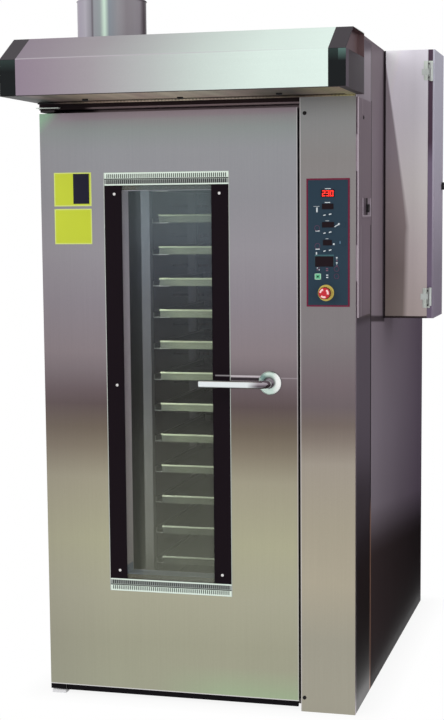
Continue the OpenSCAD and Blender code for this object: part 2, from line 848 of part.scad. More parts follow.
module ebox_door() {
    x0 = ebox_door_x;
    x1 = ebox_door_x + ebox_door_t;
    y0 = ebox_y + 3;
    y1 = ebox_y + ebox_d;
    z0 = ebox_z;
    z1 = body_h;
    color("#a39fa6") at_front() {
        difference() {
            span(x0, x1, y0, y1, z0, z1);
            span(x0 - 1, x1 - sheet, y0 + sheet, y1 - sheet, z0 + sheet, z1 - sheet);
            rod_x(lock_bore_r() + fit, x0, x1 + 1, ebox_lock_y, ebox_lock_z);
        }
        for (z = ebox_hinges()) difference() {
            union() {
                hinge_outer(ebox_axis_x, ebox_axis_y, z, ebox_hinge_h, barrel_r, barrel_pin_r);
                for (s = [-1, 1]) difference() {
                    span(ebox_axis_x - 2, ebox_axis_x + 2, ebox_axis_y, y0 + 1,
                        z + s * ebox_hinge_h / 3 - ebox_hinge_h / 6,
                        z + s * ebox_hinge_h / 3 + ebox_hinge_h / 6);
                    rod_z(barrel_pin_r + fit, ebox_axis_x, ebox_axis_y, z - ebox_hinge_h,
                        z + ebox_hinge_h);
                }
            }
        }
    }
}

function lock_bore_r() = lock_r * 0.6;

// Quarter-turn lock through a sheet whose outer face is at x, with its cam "reach" behind it
module quarter_lock(x, y, z, reach) {
    difference() {
        rod_x(lock_r, x + seat, x + seat + lock_t, y, z);
        span(x + lock_t * 0.6, x + lock_t + 2, y - 2, y + 2, z - lock_r * 0.7, z + lock_r * 0.7);
    }
    rod_x(lock_bore_r(), x - reach - 1, x + seat + 1, y, z);
    plate_x(x - reach - 3, 3) {
        translate([y, z]) circle(r = 8);
        rect(y - 8, y + 8, z, z + lock_cam_l - 8);
    }
}

module ebox_lock() {
    color("#3a3a3c") at_front()
        quarter_lock(ebox_door_x + ebox_door_t,
        ebox_lock_y, ebox_lock_z, ebox_door_t + seat + sheet + 1);
}

function cover_hinges() = [cover_z + cover_h * 0.25, cover_z + cover_h * 0.75];
function cover_hinge_h() = cover_h / 2 - 1;

module side_cover() {
    color("#7f797d") at_front() {
        difference() {
            union() {
                span(cover_x, cover_x + cover_t, cover_y, cover_y + cover_d, cover_z,
                    cover_z + cover_h);
                // Plate round the lock
                span(cover_x + cover_t - 1, cover_x + cover_t + pull_t, cover_lock_y - pull_w / 2,
                    cover_lock_y + pull_w / 2, cover_lock_z - pull_h / 2, cover_lock_z + pull_h / 2);
            }
            rod_x(lock_bore_r() + fit, cover_x - 1, cover_x + cover_t + pull_t + 1, cover_lock_y,
                cover_lock_z);
        }
        for (z = cover_hinges()) {
            hinge_outer(cover_axis_x, cover_axis_y, z, cover_hinge_h(), piano_r, piano_pin_r);
            for (s = [-1, 1]) span(cover_x, cover_x + cover_t, cover_axis_y + piano_pin_r + 1,
                cover_y + 0.5, z + s * cover_hinge_h() / 3 - cover_hinge_h() / 6,
                z + s * cover_hinge_h() / 3 + cover_hinge_h() / 6);
        }
    }
}

module cover_lock() {
    color("#3a3a3c") at_front() quarter_lock(cover_x + cover_t + pull_t, cover_lock_y,
        cover_lock_z, cover_t + pull_t + seat + sheet + 1);
}

// Brackets, keeper and machines of the cabinet

module pivot_brackets() {
    arm_r = pivot_x + 26;
    color("#8f8f8c") at_front() {
        // Upper arm under the box rail, with its pin
        span(inner_l, arm_r, 5, frame_y - seat, pivot_plate_z - 7, pivot_plate_z);
        rod_z(pivot_r, pivot_x, pivot_depth, door_top - 30, pivot_plate_z - 6);
        // Lower arm on the floor, with its pin and thrust collar
        span(inner_l, arm_r, 5, frame_y - seat, 0, 12);
        rod_z(pivot_r + 7, pivot_x, pivot_depth, 11, door_z + door_sheet);
        rod_z(pivot_r, pivot_x, pivot_depth, 11, door_z + 34);
    }
}

module latch_keeper() {
    slot_l = tongue_l + 8;
    x0 = col_l + sheet + seat;
    color("#8f8f8c") at_front() difference() {
        span(x0, x0 + 5, tongue_y - 18, tongue_y + 18, handle_z - slot_l * 0.75 - 14,
            handle_z + tongue_w / 2 + 16);
        span(x0 - 1, x0 + 6, tongue_y - tongue_t / 2 - 1, tongue_y + tongue_t / 2 + 1,
            handle_z - slot_l * 0.75, handle_z + tongue_w / 2 + 2);
    }
    // Strip that the cam of the cabinet's lock closes behind
    color("#8f8f8c") at_front() span(ebox_x1 - sheet, ebox_x1, ebox_y + ebox_d - 20,
        ebox_y + ebox_d - sheet - seat, ebox_lock_z - ebox_h * 0.06, ebox_lock_z + ebox_h * 0.06);
}

// Bearing housing that drops through the insulation and carries a shaft
module bearing(y, r) {
    translate([ch_x, y, 0]) difference() {
        union() {
            rod_z(bearing_r, 0, 0, lag_top_z, bearing_z + 2);
            rod_z(bearing_r + 24, 0, 0, bearing_z, bearing_z + 8);
        }
        rod_z(r + fit, 0, 0, lag_top_z - 1, bearing_z + 9);
    }
}

module rack_gearmotor() {
    color("#5d7a86") at_front() {
        difference() {
            union() {
                bearing(ch_y, shaft_r);
                translate([ch_x, ch_y, 0]) {
                    span(-gear_w / 2, gear_w / 2, -gear_w / 2, gear_w / 2, bearing_z + 7,
                        bearing_z + 7 + gear_h);
                    rod_x(gear_motor_r, gear_w / 2 - 1, gear_w / 2 + gear_motor_l, 0,
                        bearing_z + 7 + gear_h / 2);
                    rod_x(gear_motor_r + 10, gear_w / 2 - 1, gear_w / 2 + 10, 0,
                        bearing_z + 7 + gear_h / 2);
                }
            }
            rod_z(shaft_r + fit, ch_x, ch_y, lag_top_z - 1, bearing_z + 60);
        }
    }
}

module fan_motor() {
    color("#5d7a86") at_front() difference() {
        union() {
            bearing(fan_y, fan_shaft_r);
            rod_z(fan_motor_r, ch_x, fan_y, bearing_z + 7, bearing_z + 7 + fan_motor_h);
            // Cooling fins
            for (a = [0 : 15]) translate([ch_x, fan_y, bearing_z + 20]) rotate(a * 22.5)
                translate([fan_motor_r - 2, -2, 0]) cube([12, 4, fan_motor_h * 0.75]);
        }
        rod_z(fan_shaft_r + fit, ch_x, fan_y, lag_top_z - 1, bearing_z + 70);
    }
}

module heating_elements() {
    tube_r = 8;
    bend_r = 45;
    low = floor_z + chamber_h * 0.2;
    deep = liner_y1 - ch_y1;
    color("#4a4644") at_front() for (sx = [-1, 1], k = [0, 1]) {
        x = ch_x + sx * (chamber_w / 2 - 120);
        y = ch_y1 + (0.3 + k * 0.24) * deep;
        translate([x, y, 0]) {
            for (s = [-1, 1]) rod_z(tube_r, 0, s * bend_r, low, ch_top - seat - 6);
            translate([0, 0, low]) rotate([90, 0, 90]) rotate([0, 0, 180])
                rotate_extrude(angle = 180) translate([bend_r, 0]) circle(r = tube_r);
            span(-24, 24, -bend_r - 22, bend_r + 22, ch_top - seat - 8, ch_top - seat);
        }
    }
}

module chamber_lamp() {
    lamp_z = floor_z + chamber_h * 0.71;
    lamp_y = ch_y0 + 70;
    color("#e8e2c4") at_front() translate([ch_r - seat, lamp_y, lamp_z]) rotate([0, -90, 0])
        rotate_extrude() polygon([
            [0, 0], [46, 0], [46, 5], [38, 7], [34, 15], [20, 21], [0, 23]
        ]);
}

module door_gasket() {
    color("#c4482e") at_front() plate_y(door_t + seat, seal_gap - 2 * seat) difference() {
        rect(open_l - 4 - seal_w, opening_r + 4 + seal_w * 0.6, floor_z - 14, open_top + 4 + seal_w);
        rect(open_l - 4, opening_r + 4, floor_z - 4, open_top + 4);
    }
}

// Door

module door_skin() {
    t = door_sheet;
    slot_l = tongue_l + 12;
    color("#958f91") at_front() difference() {
        span(door_l, door_r, 0, skin_back, door_z, door_top);
        span(door_l + t, door_r - t, t, skin_back + 1, door_z + t, door_top - t);
        span(window_l, window_r, -1, t + 1, vent_bot, vent_top);
        // Ways for the pivot pins, the spindle and the tongue
        rod_z(pivot_r + 9, pivot_x, pivot_depth, door_z - 1, door_z + t + 1);
        rod_z(pivot_r + 4, pivot_x, pivot_depth, door_top - t - 1, door_top + 1);
        rod_y(spindle_r + 4, handle_x, -1, t + 1, handle_z);
        span(door_r - t - 1, door_r + 1, tongue_y - tongue_t / 2 - 3, tongue_y + tongue_t / 2 + 3,
            handle_z - slot_l * 0.85, handle_z + tongue_w / 2 + 4);
    }
}

module door_liner() {
    t = door_sheet;
    color("#a9a8a4") at_front() {
        // Inner sheet
        plate_y(door_t - t, t) difference() {
            rect(door_l, door_r, door_z, door_top);
            rect(clear_l, clear_r, glass_z + 18, glass_top - 18);
        }
        // Reveal round the glazing
        plate_y(reveal_y, door_t - t - reveal_y + 0.2) difference() {
            rect(clear_l - t, clear_r + t, glass_z + 18 - t, glass_top - 18 + t);
            rect(clear_l, clear_r, glass_z + 18, glass_top - 18);
        }
    }
}

module door_core() {
    t = door_sheet + seat;
    w = 3;
    color("#c9b778") at_front() difference() {
        span(door_l + t, door_r - t, t, door_t - t - seat, door_z + t, door_top - t);
        // Room for the glazing and its reveal
        span(window_l - w, window_r + w, -1, pane_y + pane_t + seat, vent_bot - w, vent_top + w);
        span(clear_l - w, clear_r + w, -1, door_t, glass_z + 18 - w, glass_top - 18 + w);
        // Room for the pivot blocks
        span(door_l, pivot_x + 30, -1, door_t, door_z, door_z + pivot_block_h + 4);
        span(door_l, pivot_x + 30, -1, door_t, door_top - pivot_block_h - 4, door_top);
        // Room for the tongue's swing
        rod_y(tongue_l + 16, handle_x, tongue_y - tongue_t / 2 - 2, tongue_y + tongue_t / 2 + 2,
            handle_z);
        rod_y(spindle_r + 3, handle_x, -1, tongue_y, handle_z);
    }
}

module door_pivots() {
    color("#8f8f8c") at_front() {
        t = door_sheet + seat;
        difference() {
            span(door_l + t, pivot_x + 26, t, skin_back - seat, door_z + t,
                door_z + pivot_block_h);
            rod_z(pivot_r + fit, pivot_x, pivot_depth, door_z, door_z + pivot_block_h + 1);
        }
        difference() {
            span(door_l + t, pivot_x + 26, t, skin_back - seat, door_top - pivot_block_h,
                door_top - t);
            rod_z(pivot_r + fit, pivot_x, pivot_depth, door_top - pivot_block_h - 1, door_top);
        }
    }
}

module door_sweep() {
    color("#1c1b1d") at_front() span(pivot_x + 30, door_r - 3, 4, 15, door_z - seat - sweep_h,
        door_z - seat);
}

module window_glass_outer() {
    color("#b8cfc6", 0.4) at_front() span(pane_l, pane_r, pane_y, pane_y + pane_t,
        glass_z + seat, glass_top - seat);
}

module window_glass_inner() {
    color("#b8cfc6", 0.4) at_front() span(clear_l + seat, clear_r - seat, inner_pane_y,
        inner_pane_y + pane_t, glass_z + 18 + seat, glass_top - 18 - seat);
}

module window_strips() {
    color("#1b1518") at_front() {
        span(window_l + seat, clear_l, 0, strip_t, glass_z + seat, glass_top - seat);
        span(clear_r, window_r - seat, 0, strip_t, glass_z + seat, glass_top - seat);
    }
}

module window_vents() {
    n = floor((window_w - 12) / vent_pitch);
    start = (window_w - (n - 1) * vent_pitch) / 2;
    color("#d8ddd8") at_front() for (z = [vent_bot, glass_top]) {
        plate_y(0, vent_t) difference() {
            rect(window_l + seat, window_r - seat, z + seat, z + vent_h - seat);
            for (i = [0 : n - 1], s = [-1, 1])
                translate([window_l + start + i * vent_pitch, z + vent_h / 2 + s * vent_h * 0.22])
                    square([vent_slot_w, vent_slot_h], center = true);
        }
    }
}

// Handle

module handle_rosette() {
    color("#c9c9c9") at_front() difference() {
        translate([handle_x, -seat, handle_z]) rotate([90, 0, 0]) rotate_extrude() polygon([
            [0, 0], [rosette_r, 0], [rosette_r, rosette_t * 0.3], [rosette_r * 0.9, rosette_t * 0.7],
            [rosette_r * 0.55, rosette_t], [0, rosette_t]
        ]);
        rod_y(spindle_r + fit, handle_x, -rosette_t - 1, 1, handle_z);
    }
}

module lever_handle() {
    neck_y = -rosette_t - 2 * seat;
    color("#d8d8d8") at_front() {
        // Stem, bend and grip
        translate([handle_x, 0, handle_z]) {
            rod_y(lever_r, 0, -lever_out + lever_bend, neck_y, 0);
            rod_y(lever_r + 4, 0, neck_y - 8, neck_y, 0);
            translate([-lever_bend, -lever_out + lever_bend, 0]) rotate([0, 0, -90])
                rotate_extrude(angle = 90) translate([lever_bend, 0]) circle(r = lever_r);
            rod_x(lever_r, -lever_l + 3, -lever_bend, -lever_out, 0);
            translate([-lever_l + 3, -lever_out, 0]) rotate([0, -90, 0])
                cylinder(h = 3, r1 = lever_r, r2 = lever_r - 3);
        }
        rod_y(spindle_r, handle_x, neck_y - 1, tongue_y + tongue_t / 2, handle_z);
    }
}

module latch_tongue() {
    color("#8f8f8c") at_front() difference() {
        plate_y(tongue_y - tongue_t / 2, tongue_t) difference() {
            union() {
                translate([handle_x, handle_z]) circle(r = spindle_r + 9);
                rect(handle_x - tongue_w / 2, handle_x + tongue_w / 2,
                    handle_z - tongue_l + tongue_w / 2, handle_z);
                translate([handle_x, handle_z - tongue_l + tongue_w / 2]) circle(r = tongue_w / 2);
            }
            translate([handle_x, handle_z]) circle(r = spindle_r + seat);
        }
    }
}

// Rack and its carrier

module rack_carrier() {
    side_x = hanger_w / 2 + 7;
    z0 = hanger_z - seat - 8;
    color("#8a8a86") at_front() translate([ch_x, ch_y, 0]) {
        rod_z(shaft_r, 0, 0, channel_z + 2, bearing_z + 50);
        rod_z(shaft_r + 22, 0, 0, channel_z + channel_t - 1, channel_z + channel_t + 26);
        // Channel that holds the rack's hanger
        span(-side_x - 8, side_x + 8, -hanger_d / 2, hanger_d / 2, channel_z, channel_z + channel_t);
        for (s = [-1, 1]) {
            span(s > 0 ? side_x : -side_x - 8, s > 0 ? side_x + 8 : -side_x, -hanger_d / 2,
                hanger_d / 2, z0, channel_z + 1);
            span(s > 0 ? web_w / 2 + 20 : -side_x - 1, s > 0 ? side_x + 1 : -web_w / 2 - 20,
                -hanger_d / 2, hanger_d / 2, z0, z0 + 8);
        }
    }
}

// Square tube between two heights
module post_at(x, y) {
    difference() {
        span(x, x + post, y, y + post, rack_base_z, rack_top_z + post);
        span(x + post_t, x + post - post_t, y + post_t, y + post - post_t, rack_base_z + post_t,
            rack_top_z + post + 1);
    }
}

module rack_frame() {
    xa = rack_l;
    xb = rack_l + rack_w - post;
    ya = rack_y0;
    yb = rack_y0 + rack_d - post;
    color("#8c8d89") at_front() {
        for (x = [xa, xb], y = [ya, yb]) post_at(x, y);
        for (z = [rack_base_z, rack_top_z]) {
            for (x = [xa, xb]) span(x, x + post, ya + post - 1, yb + 1, z, z + post * 0.8);
            for (y = [ya, yb]) span(xa + post - 1, xb + 1, y, y + post, z, z + post * 0.8);
        }
        // Plates that the castors bolt to
        difference() {
            for (x = [xa, xb - castor_in], y = [ya, yb - castor_in])
                span(x, x + post + castor_in, y, y + post + castor_in, rack_base_z - 5,
                    rack_base_z + 1);
            for (i = [0, 1])
                rod_z(king_r + fit, wheel_pos(i)[0], wheel_pos(i)[1], rack_base_z - 6, rack_base_z + 2);
        }
        // Hanger beam on the top
        span(ch_x - post / 2, ch_x + post / 2, ya + post - 1, yb + 1, rack_top_z,
            rack_top_z + post * 0.8);
        span(ch_x - web_w / 2, ch_x + web_w / 2, ch_y - hanger_d / 2 + 10, ch_y + hanger_d / 2 - 10,
            rack_top_z + post * 0.8 - 1, hanger_z + 1);
        span(ch_x - hanger_w / 2, ch_x + hanger_w / 2, ch_y - hanger_d / 2 + 10,
            ch_y + hanger_d / 2 - 10, hanger_z, hanger_z + hanger_t);
        // Fixed forks of the rear castors
        for (p = [wheel_pos(2), wheel_pos(3)]) translate([p[0], p[1], 0]) {
            fork_body(0);
            rod_z(18, 0, 0, fork_top - 1, rack_base_z - 4);
        }
    }
}

// Castor axes: front left, front right, rear left, rear right
function wheel_pos(i) = [
    ch_x + (i % 2 == 0 ? -1 : 1) * (rack_w / 2 - castor_in),
    ch_y + (i < 2 ? -1 : 1) * (rack_d / 2 - castor_in)
];

// Two cheeks, a crown and an axle, about the swivel axis
module fork_body(offset_y) {
    cheek = 3;
    gap = wheel_w / 2 + 2;
    for (s = [-1, 1]) plate_x(s > 0 ? gap : -gap - cheek, cheek) polygon([
        [-22, fork_top], [22, fork_top], [offset_y + 14, wheel_z - 12], [offset_y - 14, wheel_z - 12]
    ]);
    span(-gap - cheek, gap + cheek, -22, 22, fork_top - 4, fork_top);
    rod_x(6, -gap - cheek - 3, gap + cheek + 3, offset_y, wheel_z);
}

module rack_rails() {
    color("#9b9c97") at_front() for (s = [-1, 1], i = [0 : tray_n - 1]) {
        z = tray_z0 + i * tray_pitch - seat;
        inner = rack_w / 2 - post - rail_w;
        outer = rack_w / 2 - post + post_t;
        x0 = s > 0 ? ch_x + inner : ch_x - outer;
        span(x0, x0 + outer - inner, rack_y0 + post + seat, rack_y0 + rack_d - post - seat,
            z - rail_t, z);
        xw = s > 0 ? ch_x + outer - rail_t : ch_x - outer;
        span(xw, xw + rail_t, rack_y0 + post + seat, rack_y0 + rack_d - post - seat, z - rail_t,
            z + 16);
    }
}

module trays() {
    color("#b9c2b4") at_front() for (i = [0 : tray_n - 1])
        translate([ch_x, ch_y, tray_z0 + i * tray_pitch]) difference() {
            span(-tray_w / 2, tray_w / 2, -tray_d / 2 - 20, tray_d / 2 - 2, 0, tray_h);
            span(-tray_w / 2 + tray_t, tray_w / 2 - tray_t, -tray_d / 2 - 20 + tray_t,
                tray_d / 2 - 2 - tray_t, tray_t, tray_h + 1);
        }
}

module castor_fork(i) {
    p = wheel_pos(i);
    color("#8f8f8c") at_front() translate([p[0], p[1], 0]) {
        fork_body(trail);
        rod_z(20, 0, 0, fork_top - 1, rack_base_z - 5 - seat);
        // King pin and its nut
        rod_z(king_r, 0, 0, fork_top, rack_base_z + 8);
        rod_z(king_r + 5, 0, 0, rack_base_z + 1 + seat, rack_base_z + 8);
    }
}

module castor_fork_left() { castor_fork(0); }

module castor_fork_right() { castor_fork(1); }

module castor_wheel(i) {
    p = wheel_pos(i);
    y = p[1] + (i < 2 ? trail : 0);
    tread = 6;
    color("#2c2b2b") at_front() translate([p[0], y, wheel_z]) rotate([0, 90, 0])
        rotate_extrude($fn = 64) polygon([
            [6 + fit, -wheel_w / 2 - 1], [16, -wheel_w / 2 - 1], [20, -wheel_w / 2 + 6],
            [wheel_r - tread - 6, -wheel_w / 2 + 6], [wheel_r - tread, -wheel_w / 2],
            [wheel_r - 2, -wheel_w / 2], [wheel_r, -wheel_w / 2 + 3], [wheel_r, wheel_w / 2 - 3],
            [wheel_r - 2, wheel_w / 2], [wheel_r - tread, wheel_w / 2],
            [wheel_r - tread - 6, wheel_w / 2 - 6], [20, wheel_w / 2 - 6], [16, wheel_w / 2 + 1],
            [6 + fit, wheel_w / 2 + 1]
        ]);
}

module wheel_front_left() { castor_wheel(0); }

module wheel_front_right() { castor_wheel(1); }

module wheel_rear_left() { castor_wheel(2); }

module wheel_rear_right() { castor_wheel(3); }

// Fan

module fan_wheel() {
    color("#9a9b97") at_front() translate([ch_x, fan_y, 0]) difference() {
        union() {
            rod_z(fan_r, 0, 0, fan_top - 3, fan_top);
            rod_z(34, 0, 0, fan_top - 40, fan_top + 14);
            rod_z(fan_shaft_r, 0, 0, fan_top - 40, bearing_z + 60);
            difference() {
                rod_z(fan_r, 0, 0, fan_z, fan_z + 3);
                rod_z(fan_r * 0.68, 0, 0, fan_z - 1, fan_z + 4);
            }
            for (i = [0 : blades - 1]) rotate(i * 360 / blades) translate([fan_r * 0.66, -1.5, fan_z + 1])
                rotate(24) cube([fan_r * 0.3, 3, fan_h - 2]);
        }
    }
}

base_frame();
left_panel();
right_panel();
rear_panel();
roof_panel();
front_frame();
insulation();
liner_sides();
liner_ends();
air_wall();
column_shell();
control_bezel();
control_plate();
control_displays();
control_keys();
stop_collar();
hood_canopy();
hood_end_caps();
hood_underside();
flue_collar();
flue_pipe();
ebox_shell();
ebox_equipment();
pivot_brackets();
latch_keeper();
rack_gearmotor();
fan_motor();
heating_elements();
chamber_lamp();
door_gasket();
door_skin();
door_liner();
door_core();
door_pivots();
door_sweep();
window_glass_outer();
window_glass_inner();
window_strips();
window_vents();
handle_rosette();
lever_handle();
latch_tongue();
rack_carrier();
rack_frame();
rack_rails();
trays();
castor_fork_left();
castor_fork_right();
wheel_front_left();
wheel_front_right();
wheel_rear_left();
wheel_rear_right();
fan_wheel();
stop_plunger();
stop_head();
ebox_door();
ebox_lock();
side_cover();
cover_lock();
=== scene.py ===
"""Finishes, fasteners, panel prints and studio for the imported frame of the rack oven."""

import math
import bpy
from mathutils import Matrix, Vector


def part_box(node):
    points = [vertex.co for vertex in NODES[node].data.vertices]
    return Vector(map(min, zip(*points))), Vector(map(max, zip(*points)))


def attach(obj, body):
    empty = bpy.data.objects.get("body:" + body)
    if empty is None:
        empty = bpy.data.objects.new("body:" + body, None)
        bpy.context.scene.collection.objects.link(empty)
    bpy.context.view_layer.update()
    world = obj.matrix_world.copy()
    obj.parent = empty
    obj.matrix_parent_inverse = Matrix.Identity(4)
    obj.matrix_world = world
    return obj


bl_info = {"name": "Rack Oven Finishes", "version": (1, 0, 0), "blender": (4, 2, 0),
    "location": "View3D > Sidebar > Rack Oven",
    "description": "Dresses the rack oven's frame with steel finishes, fasteners and panel prints",
    "category": "Object"}

import bpy
from mathutils import Matrix, Vector

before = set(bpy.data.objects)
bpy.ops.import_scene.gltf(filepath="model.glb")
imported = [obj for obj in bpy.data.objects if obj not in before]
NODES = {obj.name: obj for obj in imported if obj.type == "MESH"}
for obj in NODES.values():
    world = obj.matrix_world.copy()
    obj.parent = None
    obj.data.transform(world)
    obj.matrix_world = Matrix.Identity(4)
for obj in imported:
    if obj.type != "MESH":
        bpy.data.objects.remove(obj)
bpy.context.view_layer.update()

# The door's front face is the plane y = FRONT; depths below are measured back from it.
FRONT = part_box("door_skin")[0].y
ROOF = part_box("roof_panel")[1].z
# The side cabinet's front face
CABINET_FACE = FRONT + 0.574
FACE = Vector((0, -1, 0))
SIDE = Vector((1, 0, 0))
DOWN = Vector((0, 0, -1))


def middle(node):
    """The middle of a node's box."""
    low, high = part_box(node)
    return (low + high) / 2


def tone(colour):
    """A display colour as the linear colour that a shader takes.

    It can be six hexadecimal digits, a linear grey, or a linear colour, which stays as it is.
    """
    if isinstance(colour, (int, float)):
        return (colour, colour, colour, 1)
    if not isinstance(colour, str):
        return tuple(colour)
    part = [c / 255 for c in bytes.fromhex(colour)]
    return tuple(c / 12.92 if c <= 0.04045 else ((c + 0.055) / 1.055) ** 2.4 for c in part) + (1,)


# ---- shader nodes


def operation(name):
    """A method of a signal that puts it, and one more value, into a math node."""
    return lambda self, other=0.0: self.board.add("ShaderNodeMath", {"operation": name},
        {0: self, 1: other})


class Signal:
    """A shader socket that can be used in arithmetic."""

    def __init__(self, board, socket):
        self.board, self.socket = board, socket

    __add__ = __radd__ = operation("ADD")
    __sub__ = operation("SUBTRACT")
    __mul__ = __rmul__ = operation("MULTIPLY")
    __pow__ = operation("POWER")
    __abs__ = operation("ABSOLUTE")
    over = operation("GREATER_THAN")
    under = operation("LESS_THAN")
    at_least = operation("MAXIMUM")
    sine = operation("SINE")

    def __rsub__(self, other):
        return self.board.add("ShaderNodeMath", {"operation": "SUBTRACT"}, {0: other, 1: self})

    def held(self):
        """The same signal, kept between 0 and 1."""
        return self.board.add("ShaderNodeClamp", {}, {0: self})

    def rise(self, start, slope):
        """0 below the start, and from there up to 1 with a slope."""
        return ((self - start) * slope).held()

    def fall(self, end, slope):
        """0 above the end, and below it up to 1 with a slope."""
        return ((end - self) * slope).held()

    def between(self, low, high):
        return self.over(low) * self.under(high)

    def peak(self, centre, half):
        """1 at the centre, falling to 0 at half its width to either side."""
        return (1.0 - abs(self - centre) * (1 / half)).held()


class Board:
    """The node tree of a material or the world, with the coordinates that its pattern follows."""

    def __init__(self, name, world=None):
        self.material = world or bpy.data.materials.new(name)
        self.material.use_nodes = True
        self.nodes = self.material.node_tree.nodes
        self.links = self.material.node_tree.links
        self.shader = next((n for n in self.nodes if n.type == "BSDF_PRINCIPLED"), None)
        self.place = self.add("ShaderNodeTexCoord", {}, {}, "Object")

    def add(self, kind, settings, inputs, output=0):
        node = self.nodes.new(kind)
        for key, value in settings.items():
            if key == "stops":
                self._set_stops(node.color_ramp, value)
            else:
                setattr(node, key, value)
        for key, value in inputs.items():
            self.feed(node.inputs[key], value)
        return Signal(self, node.outputs[output])

    def feed(self, socket, value):
        if isinstance(value, Signal):
            self.links.new(value.socket, socket)
        else:
            socket.default_value = tone(value) if isinstance(value, str) else value

    def show(self, signal):
        """Links a shader to the output."""
        self.feed(next(n for n in self.nodes if n.type.startswith("OUTPUT")).inputs[0], signal)

    def _set_stops(self, ramp, stops):
        while len(ramp.elements) < len(stops):
            ramp.elements.new(0.5)
        for element, (position, colour) in zip(ramp.elements, stops):
            element.position = position
        for element, (position, colour) in zip(ramp.elements, stops):
            element.color = colour

    def set(self, **sockets):
        """Sets or links sockets of the surface shader, named with underscores for spaces."""
        for name, value in sockets.items():
            self.feed(self.shader.inputs[name.replace("_", " ").title().replace("Ior", "IOR")],
                value)
        return self

    def axes(self):
        split = self.add("ShaderNodeSeparateXYZ", {}, {0: self.place})
        node = split.socket.node
        return [Signal(self, node.outputs[i]) for i in range(3)]

    def noise(self, scale, detail=3.0, rough=0.5):
        """Noise with so many cells to the metre, along all axes or along each."""
        if not isinstance(scale, tuple):
            scale = (scale,) * 3
        place = self.add("ShaderNodeMapping", {}, {"Vector": self.place, "Scale": scale})
        return self.add("ShaderNodeTexNoise", {}, {"Vector": place, "Scale": 1.0, "Detail": detail,
            "Roughness": rough})

    def colours(self, signal, stops, low=0.0, high=1.0):
        """A colour ramp over a signal that runs from low to high: {place on it: colour}."""
        span = high - low
        ready = [((at - low) / span, tone(colour)) for at, colour in sorted(stops.items())]
        return self.add("ShaderNodeValToRGB", {"stops": ready}, {0: (signal - low) * (1 / span)})

    def mixed(self, factor, first, second):
        return self.add("ShaderNodeMix", {"data_type": "RGBA", "clamp_factor": True},
            {0: factor, 6: first, 7: second}, 2)

    def dimmed(self, colour, amount):
        """A colour times a number."""
        if not isinstance(colour, Signal):
            colour = tone(colour)[:3]
        return self.add("ShaderNodeVectorMath", {"operation": "SCALE"},
            {0: colour, "Scale": amount})

    def bump(self, height, strength, distance=0.001):
        return self.add("ShaderNodeBump", {}, {"Strength": strength, "Distance": distance,
            "Height": height})


class Coat:
    """The colour of a finish, which other colours are laid over one after another."""

    def __init__(self, board, colour):
        self.board, self.colour = board, colour

    def lay(self, cover, colour):
        self.colour = self.board.mixed(cover, self.colour, colour)

    def dim(self, amount):
        self.colour = self.board.dimmed(self.colour, amount)

    def marked(self, tint, axes):
        """The colour with the marks that a function lays over it."""
        if tint:
            tint(self.board, self, *axes)
        return self.colour


# ---- finishes

FINISH = {}
SHADE = "787076"


def brushed(name, along, stops, low, high, grain=(150, 150, 2.5), roughness=0.34, streak=0.10,
        metallic=0.9, tint=None, edge=None):
    """Brushed sheet steel: a slow change of tone along an axis, which stands for painted reflection
    and shade, then fine grain and smudges.
    """
    board = Board(name)
    axes = board.axes()
    base = board.colours(axes["xyz".index(along)], stops, low, high)
    base = Coat(board, base).marked(tint, axes)
    lines = board.noise(grain, 4.0, 0.65)
    smudge = board.noise((2.3, 2.3, 1.6))
    speck = board.noise(320, 1.0, 0.5)
    shade = 1.0 - streak / 2 + lines * streak
    shade = shade * (0.95 + smudge * 0.10) * (0.965 + speck * 0.07)
    board.set(base_color=board.dimmed(base, shade), metallic=metallic,
        roughness=roughness - 0.05 + smudge * 0.10, normal=board.bump(lines, 0.06))
    if edge:
        board.set(specular_tint=edge)
    FINISH[name] = board.material
    return board


def plain(name, colour, roughness=0.5, metallic=0.0, mottle=0.06, scale=30, bump=0.05, coat=0.0,
        shine=0.5, tint=None):
    """Paint, plastic, rubber or dull metal with a fine mottle."""
    board = Board(name)
    fine = board.noise(scale, 3.0, 0.6)
    wide = board.noise(3, 2.0, 0.5)
    colour = Coat(board, colour).marked(tint, board.axes())
    shade = 1.0 - mottle + fine * mottle + wide * mottle
    board.set(base_color=board.dimmed(colour, shade), metallic=metallic,
        roughness=roughness - 0.04 + fine * 0.08, coat_weight=coat, specular_ior_level=shine,
        normal=board.bump(fine, bump))
    FINISH[name] = board.material
    return board


